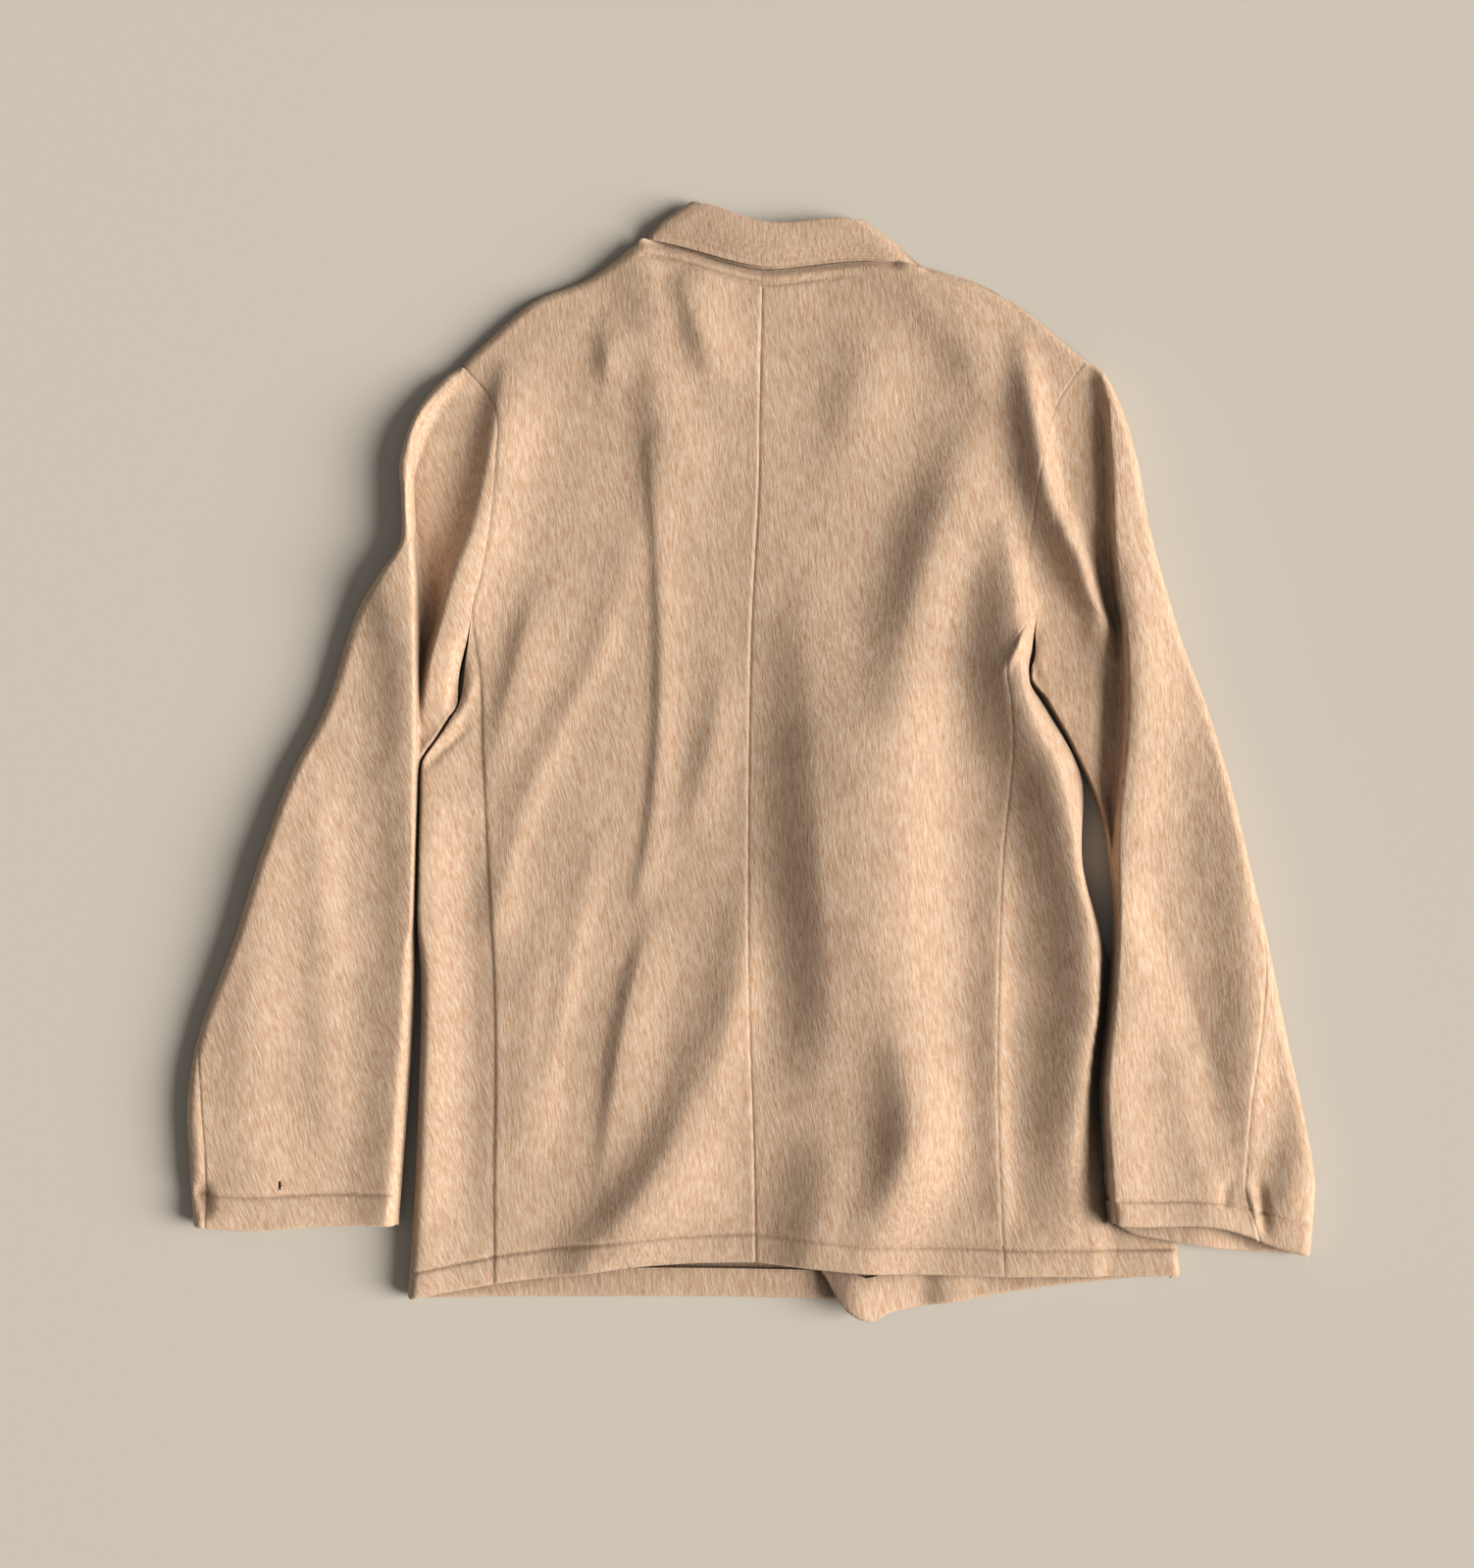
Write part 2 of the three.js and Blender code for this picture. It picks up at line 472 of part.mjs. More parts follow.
function backPanel(side) {
  const left = side < 0;
  const shoulder = pointsAlong(left ? shoulderFoldLeft : shoulderSeamRight, shoulderColumns);
  const neck = left ? neckline(leftNeckRow + 2, middleRow) : neckline(rightNeckRow - 2, middleRow);
  const behind = left ? seamBehind : 0;
  return panelGrid({
    top: [...shoulder.map(([x, y]) => [x, y - behind - gap / 2]), ...neck],
    sideLine: left ? backSideLeft : backSideRight,
    centreLine: centreBack,
    hem: left ? hemBackLeft : hemBackRight,
    face: 1,
  }, side);
}

function frontPanel(side) {
  const left = side < 0;
  const fold = pointsAlong(left ? shoulderFoldLeft : shoulderFoldRight, shoulderColumns);
  const seamLine = pointsAlong(left ? shoulderFoldLeft : shoulderSeamRight, shoulderColumns);
  const behind = left ? seamBehind : 0;
  return panelGrid({
    top: [...fold, ...(left ? neckline(leftNeckRow - 2, 0) : neckline(rightNeckRow + 2, collar.length - 1))],
    strip: seamLine.map(([x, y], c) => [x, y + gap / 2 - (c < shoulderColumns ? behind : 0)]),
    sideLine: left ? frontSideLeft : frontSideRight,
    centreLine: left ? frontEdgeLeft : frontEdgeRight,
    hem: left ? hemFrontLeft : hemFrontRight,
    face: -1,
  }, side);
}

// A side panel: from the seam behind, over the folded edge, to the seam below.
function sidePanel(side) {
  const left = side < 0;
  const table = left ? sideLeft : sideRight;
  const bottom = (x, y) => frontHeight(side, x, y);
  const grid = [];
  const count = (table.length - 1) * sideRows;
  for (let r = 0; r <= count; r += 1) {
    const row = rowAt(table, r / sideRows);
    const edge = [row.edgeX, row.edgeY];
    const behind = [valueAt(left ? backSideLeft : backSideRight, row.seamY), row.seamY];
    const below = [valueAt(left ? frontSideLeft : frontSideRight, row.frontY), row.frontY];
    const [topX, topY, topLength] = unit(edge, behind);
    const [lowX, lowY, lowLength] = unit(edge, below);
    const upper = acrossFrom(topLength - gap / 2, 3).reverse();
    const lower = acrossFrom(lowLength - gap / 2, 2).slice(1);
    grid.push([
      ...upper.map((inset) => foldPoint(edge, [topX, topY], inset, 1, backHeight, bottom)),
      ...lower.map((inset) => foldPoint(edge, [lowX, lowY], inset, -1, backHeight, bottom)),
    ]);
  }
  return grid;
}

// Insets from a fold: the close ones, then even ones out to the far seam.
function acrossFrom(length, count) {
  const near = foldPlaces.map((place) => Math.min(place, length * place / 14));
  const last = near[near.length - 1];
  return [...near, ...Array.from({ length: count }, (_, i) => lerp(last, length, (i + 1) / count))];
}

// Keeps a list of places in order, at least a little apart.
function spread(list, length) {
  const out = [...list];
  const least = Math.min(0.5, length / (list.length * 3));
  for (let i = 1; i < out.length; i += 1) out[i] = Math.max(out[i], out[i - 1] + least);
  out[out.length - 1] = list[list.length - 1];
  for (let i = out.length - 2; i >= 0; i -= 1) out[i] = Math.min(out[i], out[i + 1] - least);
  return out;
}

// One row of a sleeve: its ends, the unit vector between them and its two faces.
function sleeveRow(side, at, face) {
  const left = side < 0;
  const row = rowAt(left ? sleeveLeft : sleeveRight, at);
  const lines = face > 0 ? [backSideLeft, backSideRight] : [frontSideLeft, frontSideRight];
  const line = left ? lines[0] : lines[1];
  if (at < underarmRow - 1) row.inX = valueAt(line, row.inY);
  else if (at < underarmRow) {
    const table = left ? sleeveLeft : sleeveRight;
    row.inX = lerp(table[underarmRow - 1].inX, table[underarmRow].inX, at - underarmRow + 1);
    row.inY = lerp(table[underarmRow - 1].inY, table[underarmRow].inY, at - underarmRow + 1);
  }
  const outer = [row.outX, row.outY];
  const inner = [row.inX, row.inY];
  const [x, y, length] = unit(outer, inner);
  row.closed = smoothstep(at, underarmRow - 0.5, underarmRow);
  const top = (px, py) => sleeveHeight(side, row, px, py, Math.hypot(px - inner[0], py - inner[1]));
  const bottom = (px, py) => sleeveUnderside(side, px, py);
  const edge = clamp((row.edgeX - row.outX) / (row.inX - row.outX), 0, 1) * length;
  return { row, outer, inner, inward: [x, y], length, top, bottom, edge };
}

function sleevePoint(section, inset, face) {
  const { row, outer, inner, inward, length, top, bottom } = section;
  const fromOuter = foldPoint(outer, inward, inset, face, top, bottom);
  const back = [-inward[0], -inward[1]];
  const fromInner = foldPoint(inner, back, Math.max(length - inset, 0), face, top, bottom);
  if (inset < length / 2) return fromOuter;
  const open = foldPoint(inner, back, 2 * roll, face, top, bottom);
  const flat = face > 0 ? top(fromInner.x, fromInner.y) : bottom(fromInner.x, fromInner.y);
  const normal = open.normal.clone().lerp(fromInner.normal, row.closed).normalize();
  return { ...fromInner, z: lerp(flat, fromInner.z, row.closed), normal };
}

function sleevePiece(side, face) {
  const grid = [];
  const table = side < 0 ? sleeveLeft : sleeveRight;
  const count = (table.length - 1) * sleeveRows;
  for (let r = 0; r <= count; r += 1) {
    const section = sleeveRow(side, r / sleeveRows, face);
    const { row, length, edge } = section;
    const end = length - (row.closed < 1 ? gap : 0);
    let points;
    if (face > 0) {
      const start = Math.min(row.turn, length / 2.5) + outerGap;
      const middle = Math.min(edge, length - 9) - 6;
      const first = Math.min(Math.max(start + 4, 9), middle);
      const insets = spread([start, start + 1.4, first,
        ...[0.25, 0.5, 0.75, 1].map((share) => lerp(first, middle, share)), edge - 1.4, edge + 1.4,
        ...[0.35, 0.7].map((share) => lerp(edge, length - 9, share)), length - 9, length - 4.2,
        length - 1.2, end], length);
      points = insets.map((inset) => sleevePoint(section, inset, 1));
    } else {
      const turned = [0.08, 0.3, 0.6, 1].map((share) => share * (Math.min(row.turn, length / 2.5) - outerGap));
      const insets = spread([0, 1.2, 4.2, 9, ...[0.25, 0.5, 0.75].map((share) => lerp(9, length - 9, share)),
        length - 9, length - 4.2, length - 1.2, end], length);
      points = [...insets.reverse().map((inset) => sleevePoint(section, inset, -1)),
        ...turned.map((inset) => sleevePoint(section, inset, 1))];
    }
    const innermost = face > 0 ? points.length - 1 : 0;
    if (row.closed > 0) points[innermost].z += face * row.closed * gap;
    grid.push(points);
  }
  return grid;
}

function collarPiece() {
  const grid = [];
  const count = (collar.length - 1) * collarRows;
  for (let r = 0; r <= count; r += 1) {
    const row = rowAt(collar, r / collarRows);
    grid.push([0, 0.5, 1].map((share) => ({
      x: lerp(row.seamX, row.topX, share),
      y: lerp(row.seamY, row.topY, share),
      z: Math.max(row.z, 0),
      normal: down,
    })));
  }
  return grid;
}

const jacket = new THREE.Group();

function addPiece(name, geometry) {
  const mesh = new THREE.Mesh(geometry, new THREE.MeshStandardMaterial(cloth));
  mesh.name = name;
  jacket.add(mesh);
}

addPiece('back_left', wallFrom(backPanel(-1)));
addPiece('back_right', wallFrom(backPanel(1)));
addPiece('side_left', wallFrom(sidePanel(-1)));
addPiece('side_right', wallFrom(sidePanel(1)));
addPiece('front_left', wallFrom(frontPanel(-1)));
addPiece('front_right', wallFrom(frontPanel(1)));
addPiece('sleeve_left_back', wallFrom(sleevePiece(-1, 1)));
addPiece('sleeve_left_front', wallFrom(sleevePiece(-1, -1)));
addPiece('sleeve_right_back', wallFrom(sleevePiece(1, 1)));
addPiece('sleeve_right_front', wallFrom(sleevePiece(1, -1)));
addPiece('collar', wallFrom(collarPiece()));

export default jacket;
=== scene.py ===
# A thick brushed-wool jacket with a stand collar, laid face down on a pale table.
# Each piece of cloth is a thin shell on its CAD solid's sections, with finer folds, seams and nap.
# Lengths in the tables are millimetres; the meshes are in metres.
import math
from types import SimpleNamespace
import bpy
import numpy as np
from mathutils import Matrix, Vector


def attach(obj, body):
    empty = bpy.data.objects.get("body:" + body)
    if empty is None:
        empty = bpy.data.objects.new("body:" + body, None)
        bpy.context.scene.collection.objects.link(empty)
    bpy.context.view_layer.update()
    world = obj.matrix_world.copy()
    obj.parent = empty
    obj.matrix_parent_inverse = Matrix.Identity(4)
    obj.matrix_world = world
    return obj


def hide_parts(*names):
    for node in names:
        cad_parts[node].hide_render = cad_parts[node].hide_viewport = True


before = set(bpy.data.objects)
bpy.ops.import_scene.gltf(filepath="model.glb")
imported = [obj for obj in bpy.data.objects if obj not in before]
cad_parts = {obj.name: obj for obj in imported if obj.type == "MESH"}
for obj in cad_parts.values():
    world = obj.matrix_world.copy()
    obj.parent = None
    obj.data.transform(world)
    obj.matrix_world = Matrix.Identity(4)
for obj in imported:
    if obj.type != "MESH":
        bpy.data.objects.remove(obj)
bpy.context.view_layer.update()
bpy.ops.object.select_all(action="DESELECT")

cloth = {
    "wall": 2.6,  # thickness of the wool
    "gap": 0.1,  # between two pieces at a seam
    "crown": 13.0,  # usual height of the back's face
    "lowest": 9.3,  # least height of it, clear of the fronts below
    "roll": 9.0,  # how far in from a folded edge the cloth starts to curve down
    "fine": 2.4,  # spacing of points on faces that show
    "coarse": 3.5,  # and on the sleeves' under halves
}
hem = {
    "radius": 2.9,  # of the fold at the hem and cuffs
    "turnUp": 21.0,  # how far up the stitching is
    "cuffLeft": 24.0, "cuffRight": 22.0,
    "frontRight": 32.0,  # the wider turning at the right front's hem
    "puff": 1.3,  # how far the band stands out between edge and stitching
    "dent": 1.2,  # depth of the stitched line
    "dentReach": 1.7,
}
seam = {
    "swell": 0.35, "swellReach": 6.0,  # the cloth stands up a little over the seam's turnings
    "dent": 1.0, "dentReach": 1.4,  # and rolls down into the seam
    "lower": 0.5, "lowerReach": 0.9,  # the other side of the seam lies flat against it
    "side": 0.6, "armhole": 0.6,  # how much of that shows at the right side and armholes
}

# Lines given by height: y, x. Back and front meet along the armholes.
centreBack = [[-370, 4], [-290, 3], [-157, -1], [-17, -1], [95, 1], [193, 6], [263, 7], [351, 9]]
armholeLeft = [
    [106, -198], [130, -192], [155, -187], [185, -183], [212, -181], [242, -180], [263, -189],
    [283, -206], [300, -212], [371, -212]]
armholeRight = [
    [109, 205], [132, 200], [151, 199], [183, 203], [206, 206], [252, 218], [275, 232], [290, 242],
    [351, 242]]
backSideLeft = [
    [-380, -183], [-300, -183], [-227, -182], [-157, -183], [-80, -187], [0, -191], [60, -193],
    *armholeLeft]
backSideRight = [
    [-380, 182], [-300, 178], [-225, 176], [-150, 177], [-70, 180], [0, 186], [40, 184], [69, 181],
    [90, 190], *armholeRight]
frontSideLeft = [[-390, -155], [-230, -156], [-80, -158], [0, -160], [60, -172], *armholeLeft]
frontSideRight = [
    [-400, 282], [-300, 274], [-225, 250], [-150, 221], [-75, 200], [0, 190], [60, 188], [85, 191],
    *armholeRight]
frontEdgeLeft = [[-400, 74], [268, 34]]
frontEdgeRight = [[-400, 51], [268, 12]]

# Lines given across: x, y.
hemBackLeft = [[-183, -374], [-115, -365], [-60, -360], [4, -358]]
hemBackRight = [[4, -358], [52, -362], [95, -366], [182, -369]]
hemFrontLeft = [[-155, -384], [-40, -384], [74, -386]]
hemFrontRight = [
    [51, -362], [56, -371], [62, -383], [72, -395], [83, -400], [98, -394], [136, -389],
    [192, -380], [248, -373], [282, -370]]

# Edges where the cloth turns over or meets the collar, as points x, y.
shoulderFoldLeft = [[-206, 283], [-185, 303], [-154, 329], [-115, 345], [-82, 369.5]]
shoulderFoldRight = [[240, 287], [224, 300], [199, 321], [177, 333], [157, 342], [126, 351]]
shoulderSeamRight = [
    [233, 276], [219, 290], [205, 306], [193, 319], [177, 331.6], [157, 341], [126, 350]]

# The sides, from the armhole down: height on the back's seam, the edge (beside the sleeve as far
# as the underarm's row, then the fold under the arm), and height on the front's seam.
sideColumns = ("seamY", "edgeX", "edgeY", "frontY")
armpitRow = 2
sideLeft = [
    (105.5, -198.6, 102, 105.5), (78, -203.2, 74, 78), (46, -209.6, 37, 44), (14, -234, 1, 8),
    (-24, -236, -46, -30), (-80, -237, -105, -80), (-157, -235, -172, -160),
    (-227, -237, -240, -230), (-300, -240, -312, -308), (-374, -245, -385, -384)]
sideRight = [
    (108, 204, 103, 108), (86, 201.5, 81, 86), (64, 198.6, 58, 62), (38, 212.5, 36, 36),
    (-4, 237, -12, -5), (-70, 237, -78, -75), (-150, 260, -150, -150), (-225, 284, -225, -225),
    (-300, 300, -300, -300), (-369, 308, -369, -370)]

# Sleeves from the shoulder to the cuff: the outer edge, the inner line (the armhole, then the
# inner edge), where the ridge drops off, how far it stands up, the height of the cloth beside
# it, and how far the outer seam comes over the edge.
sleeveColumns = ("outX", "outY", "inX", "inY", "edgeX", "ridge", "foot", "turn")
underarmRow = 8
sleeveLeft = [
    (-208, 281.5, -204, 280, -207, 0, 14, 1), (-222, 270, -189, 263, -212, 1, 14, 1),
    (-239, 248, -180, 242, -229, 3, 12, 1), (-250, 215, -181, 212, -240, 5, 10, 1),
    (-249, 187, -183, 185, -242, 6, 8, 1), (-250, 155, -187, 155, -240, 7, 7, 1),
    (-266, 131, -192, 130, -238, 8, 6, 1), (-283, 102, -198, 106, -237, 9, 5.5, 1),
    (-303, 40, -209.6, 37, -236.5, 9, 6, 1), (-328, -10, -234.5, 0.7, -236.5, 8, 8, 1),
    (-349, -66, -236.5, -50, -234, 7, 10, 1), (-370, -131, -238, -115, -235, 7, 9, 1),
    (-393, -192, -240.5, -185, -238, 7, 8, 2), (-402, -240, -244, -240, -241, 7, 8, 11),
    (-401, -285, -247.5, -285, -245, 7, 8, 13), (-398, -333, -251, -331, -249, 7, 8, 10)]
# By height, the line below the left armhole where the sleeve lies against the side.
sleeveAgainst = [
    [37, -209.6], [28, -215.5], [18, -222], [9, -228.5], [1, -234], [-8, -236], [-30, -236.4],
    [-66, -236.6], [-105, -237.6], [-131, -238.4]]
sleeveRight = [
    (242, 285.5, 238.5, 283, 241, 0, 14, 1), (254, 275, 231, 274, 246, 3, 14, 1),
    (267, 247, 218, 252, 252, 6, 14, 1), (277, 212, 207, 212, 255, 7, 13, 1),
    (283, 179, 203, 183, 256, 7, 13, 1), (290, 148, 199, 151, 257, 7, 10.5, 1),
    (301, 110, 201, 128, 260, 7, 9, 1), (309, 84, 205, 109, 264, 7, 8.5, 1),
    (328, 34, 201, 64, 266, 7, 8.5, 1), (344, -20, 227, 14, 264, 7, 9, 1),
    (357, -76, 250, -38, 260, 8, 10, 1), (370, -130, 258, -95, 259, 7, 17.5, 4),
    (381, -185, 255, -165, 256, 7, 20, 17), (394, -245, 249, -232, 250, 8, 20, 38),
    (403, -296, 252, -283, 253, 7, 20, 50.5), (402.8, -318, 253, -300, 254, 7, 20, 51),
    (400, -355, 256.5, -329, 257.5, 6, 20, 38)]

# The stand collar from its left end, under the back, round to its right end: the seam, the top
# edge, the height of its face and how far that face has turned, from -90 below to 90 above.
collarColumns = ("seamX", "seamY", "topX", "topY", "z", "turned")
collar = [
    (34, 268.4, 35, 301, 0, -90), (0, 271.4, 5, 304, 0, -90), (-35, 283.5, -22, 313, 0, -90),
    (-61.6, 308.4, -36, 328, 0, -90), (-75, 340, -43, 352, 0, -80), (-77, 362, -40, 387, 1, -60),
    (-80, 371.6, -42, 400, 6.5, 0), (-76.5, 371.2, -38.5, 399, 12.5, 66),
    (-56, 367.5, -24, 396, 14, 90), (-34, 361.5, -11, 391, 14.5, 90),
    (-12, 355.5, 2, 387, 14.5, 90), (9, 351.5, 15, 385, 14.5, 90), (30, 352.5, 30, 385, 14.5, 90),
    (55, 355.5, 47, 387, 14.5, 90), (83, 357.5, 61, 388, 14.5, 90),
    (106, 354.5, 71, 387.6, 14, 80), (120, 351.8, 76, 386.8, 12, 60),
    (126.5, 352.3, 81, 387, 6.5, 0), (123, 341, 78, 375, 1, -60), (122.4, 325, 88, 343, 0, -80),
    (107.4, 298.5, 84, 321, 0, -90), (80, 279.5, 68, 310, 1, -90), (45, 270.5, 41, 303, 4, -90),
    (12, 268.5, 12, 301, 6, -90)]
leftNeckRow = 6
middleRow = 11
rightNeckRow = 17

# Folds, each a crest (or with minus signs a hollow) followed downwards: how far it reaches to
# the right and to the left of its line, and the line's points as x, y and height.
armholeRollPath = [
    [-170, 290, 0.5], [-175, 266, 6], [-180, 238, 10], [-185, 207, 10], [-190, 184, 10],
    [-196, 162, 10], [-203, 145, 10], [-209, 128, 9], [-216, 105, 8], [-222, 85, 7], [-227, 65, 6],
    [-231, 42, 4], [-234, 22, 3], [-236, 4, 2]]
bodyFolds = [
    # the long ridge right of the centre seam and the slope beyond it
    (64, 30, [42, 118, 2], [44, 70, 8], [48, 20, 13], [50, -30, 16], [53, -80, 17], [57, -130, 17],
        [59, -175, 15], [56, -215, 10], [48, -252, 3]),
    (29, 24, [153, 218, 5], [142, 185, 10], [129, 145, 13], [117, 100, 11], [110, 50, 5]),
    (29, 46, [116, 80, 2], [108, 50, 7], [105, 0, 10], [105, -60, 9], [106, -120, 9],
        [108, -170, 6], [112, -205, 2]),
    (29, 23, [104, -172, 2], [109, -205, 9], [114, -240, 15], [114, -262, 17], [109, -290, 17],
        [97, -320, 14], [87, -350, 9], [80, -390, 7]),
    (32, 27, [66, -262, 2], [60, -290, 8], [54, -318, 12], [48, -345, 12], [42, -390, 9]),
    # the right side's roll, from the armhole down beside the sleeve
    (12, 27, [177, 172, 3], [183, 140, 11], [187, 112, 16], [188, 88, 18], [189, 64, 20],
        [195, 38, 21], [203, 18, 21], [214, -2, 21], [222, -30, 21], [228, -60, 20],
        [234, -88, 19], [239, -112, 18], [241, -150, 17], [242, -180, 16], [237, -205, 15],
        [233, -235, 14], [230, -265, 12], [227, -300, 8], [225, -335, 3]),
    (5, 6, [205, 100, 0], [202, 86, -4], [200, 72, -6], [203, 58, -6], [209, 44, -3]),
    (4, 4, [203, 114, 1], [196, 95, 3.2], [187, 78, 3.4], [178, 63, 1]),
    (9, 15, [178, -50, 1], [176, -120, 3], [175, -170, 4], [175, -220, 4], [176, -270, 4],
        [179, -320, 3]),
    (10, 12, [193, 296, 3], [197, 270, 9], [202, 238, 13], [207, 207, 13], [214, 182, 12],
        [224, 160, 11], [235, 140, 9], [245, 118, 7], [251, 95, 5], [254, 78, 3]),
    # the left armhole's roll and the left edge
    (25, 10, *armholeRollPath),
    (23, 8, [-230, -10, 2], [-233, -60, 9], [-233, -120, 10], [-232, -180, 10], [-233, -240, 10],
        [-236, -300, 8], [-240, -350, 5], [-242, -390, 3]),
    (34, 16, [-186, -40, 1], [-179, -90, 3.5], [-177, -160, 4], [-177, -240, 4], [-179, -310, 3]),
    # the hollow at the left underarm and the crease below it
    (6, 5, [-201, 92, 0], [-206, 74, -3], [-208.5, 58, -6], [-210, 46, -5.5], [-211, 37, -2],
        [-211, 31, 0]),
    (4, 5, [-197, 56, 1], [-206, 36, 2], [-214, 23, 2.5], [-226, 14, 2], [-236, 0, 1.5]),
    (3, 3, [-203, 22, -1], [-212, 14, -1.6], [-222, 5, -1.6], [-232, -6, -1]),
    # round the neck and the shoulder blades
    (26, 13, [-50, 352, 3], [-44, 335, 7], [-36, 310, 8], [-29, 290, 6], [-24, 268, 2]),
    (14, 22, [-76, 362, 3], [-72, 340, 5], [-66, 318, 4]),
    (16, 9, [-102, 308, 2], [-101, 287, 4.5], [-103, 266, 1.5]),
    (26, 17, [-78, 300, 2], [-66, 262, 5.5], [-60, 225, 5.5], [-62, 185, 3]),
    (30, 22, [88, 320, 1], [82, 290, 4], [76, 262, 5], [70, 235, 4], [64, 205, 1.5]),
    (26, 20, [112, 345, 2], [130, 322, 5], [150, 303, 6.5], [164, 282, 6.5], [174, 258, 3]),
    # the long thin crease and the slants towards the left of the hem
    (12, 5, [-71, 222, 1.5], [-67, 165, 2.5], [-64, 100, 3], [-64, 40, 3.2], [-67, -10, 3.2],
        [-72, -55, 2.5], [-80, -95, 1.5]),
    (16, 12, [-18, 60, 1.5], [-24, 25, 3.5], [-32, -10, 3.5], [-40, -40, 1.5]),
    (10, 13, [-86, 150, 1], [-104, 88, 2.5], [-120, 55, 2.8], [-137, 20, 2.8], [-152, -15, 1.5]),
    (22, 10, [-152, 115, 2], [-161, 85, 4.5], [-170, 50, 4.5], [-178, 20, 3], [-184, -15, 1]),
    (10, 12, [-150, 0, 1], [-163, -40, 2], [-173, -80, 2.5], [-180, -115, 2]),
    (22, 9, [-70, -120, 2], [-80, -150, 4.5], [-88, -185, 5.5], [-95, -225, 5.5], [-99, -260, 4],
        [-104, -290, 2]),
    (34, 20, [-16, -140, 2], [-24, -180, 4], [-34, -215, 6], [-42, -245, 8], [-54, -275, 11],
        [-72, -305, 13], [-92, -330, 12], [-110, -350, 9], [-122, -390, 6]),
    (10, 12, [-108, -60, 1], [-122, -110, 2.2], [-134, -170, 2.8], [-146, -230, 2.5],
        [-154, -280, 1]),
    (10, 12, [-142, -110, 1], [-152, -160, 1.8], [-160, -220, 1.8], [-166, -270, 1]),
    (14, 14, [-6, -100, 2], [-8, -150, 4], [-16, -195, 4], [-26, -225, 2]),
]
sleeveFolds = [
    (26, 20, [-335, 20, 1], [-342, -60, 3], [-352, -140, 3.5], [-358, -220, 3], [-356, -300, 2]),
    (14, 14, [-304, -20, 1], [-306, -80, 2.5], [-303, -160, 2], [-300, -260, 1.5]),
    (14, 12, [-268, 150, 1], [-262, 125, 3], [-256, 95, 2]),
    # the right sleeve's rolled middle and outer edge
    (25, 14, [267, 150, 1], [274, 120, 5], [277, 80, 6], [276, 30, 5], [274, -10, 3],
        [270, -50, 1]),
    (15, 22, [334, 10, 1], [345, -60, 5], [352, -120, 6], [355, -180, 7], [352, -240, 7],
        [349, -290, 4], [349, -340, 3]),
    # under the right sleeve's ridge, where the cloth is gathered towards the armhole
    (8, 10, [222, 160, 3], [233, 140, 6], [243, 118, 6], [252, 95, 5], [259, 70, 3]),
    (4, 5, [232, 128, 1], [246, 110, 2], [254, 98, 2], [261, 87, 1]),
    # the cuff's seam, bunched by its stitching
    (4, 3, [351, -303, 0.5], [355, -313, 2.6], [358, -322, 3], [359, -333, 2]),
    (4, 5, [360, -298, -0.5], [363, -310, -3.5], [365, -322, -4.5], [366, -336, -2.5]),
    (4, 4, [342, -302, 0], [338, -310, -2], [337, -320, -2], [337, -330, 0]),
    (16, 14, [393, -264, 1], [387, -288, 4], [384, -310, 4.5], [382, -332, 2.5]),
    # the dimple at the foot of the left sleeve's outer seam
    (6, 7, [-394, -299, -0.5], [-391, -307, -6], [-389, -316, -6], [-387, -326, -0.5]),
]


def smooth(value, low, high):
    share = np.clip((np.asarray(value, float) - low) / (high - low), 0, 1)
    return share * share * (3 - 2 * share)


def mix(a, b, share):
    return a + (b - a) * share


# 1 on a line, falling away to both sides of it.
def bell(distance, reach):
    return np.exp(-(distance / reach) ** 2)


def together(*parts):
    return np.stack(parts, axis=-1)


# How far along a line each of its points is.
def runAlong(line):
    return np.concatenate([[0], np.cumsum(np.hypot(*np.diff(line, axis=0).T))])


# Value of a line at places along its first column, as a smooth curve through its rows.
def through(line, at):
    keys, values = np.array(sorted(map(tuple, line)), float).T
    at = np.clip(np.asarray(at, float), keys[0], keys[-1])
    last = len(keys) - 1
    each = np.arange(last + 1)
    before, after = np.maximum(each - 1, 0), np.minimum(each + 1, last)
    slopes = (values[after] - values[before]) / (keys[after] - keys[before])
    i = np.clip(np.searchsorted(keys, at, side="right") - 1, 0, last - 1)
    width = keys[i + 1] - keys[i]
    t = (at - keys[i]) / width
    bend = t * (1 - t) * width * (slopes[i] * (1 - t) - slopes[i + 1] * t)
    return values[i] + (values[i + 1] - values[i]) * t * t * (3 - 2 * t) + bend


# The rows between the rows of a table, by the name of each column.
def section(table, columns, at):
    lines = {name: through([(i, row[k]) for i, row in enumerate(table)], at)
             for k, name in enumerate(columns)}
    return SimpleNamespace(**lines)


# Points along a smooth curve through a few given ones, evenly spaced.
def curveThrough(points, count):
    points = np.array(points, float)
    padded = np.vstack([points[:1], points, points[-1:]])
    t = np.linspace(0, 1, 13)[:, None]
    pieces = []
    for a, b, c, d in zip(padded, padded[1:], padded[2:], padded[3:]):
        v0, v1 = (c - a) / 2, (d - b) / 2
        pieces.append((2 * b - 2 * c + v0 + v1) * t ** 3
                      + (3 * c - 3 * b - 2 * v0 - v1) * t ** 2 + v0 * t + b)
    line = np.vstack(pieces)
    run = runAlong(line[:, :2])
    at = np.linspace(0, run[-1], count + 1)
    return np.stack([np.interp(at, run, column) for column in line.T], axis=1)


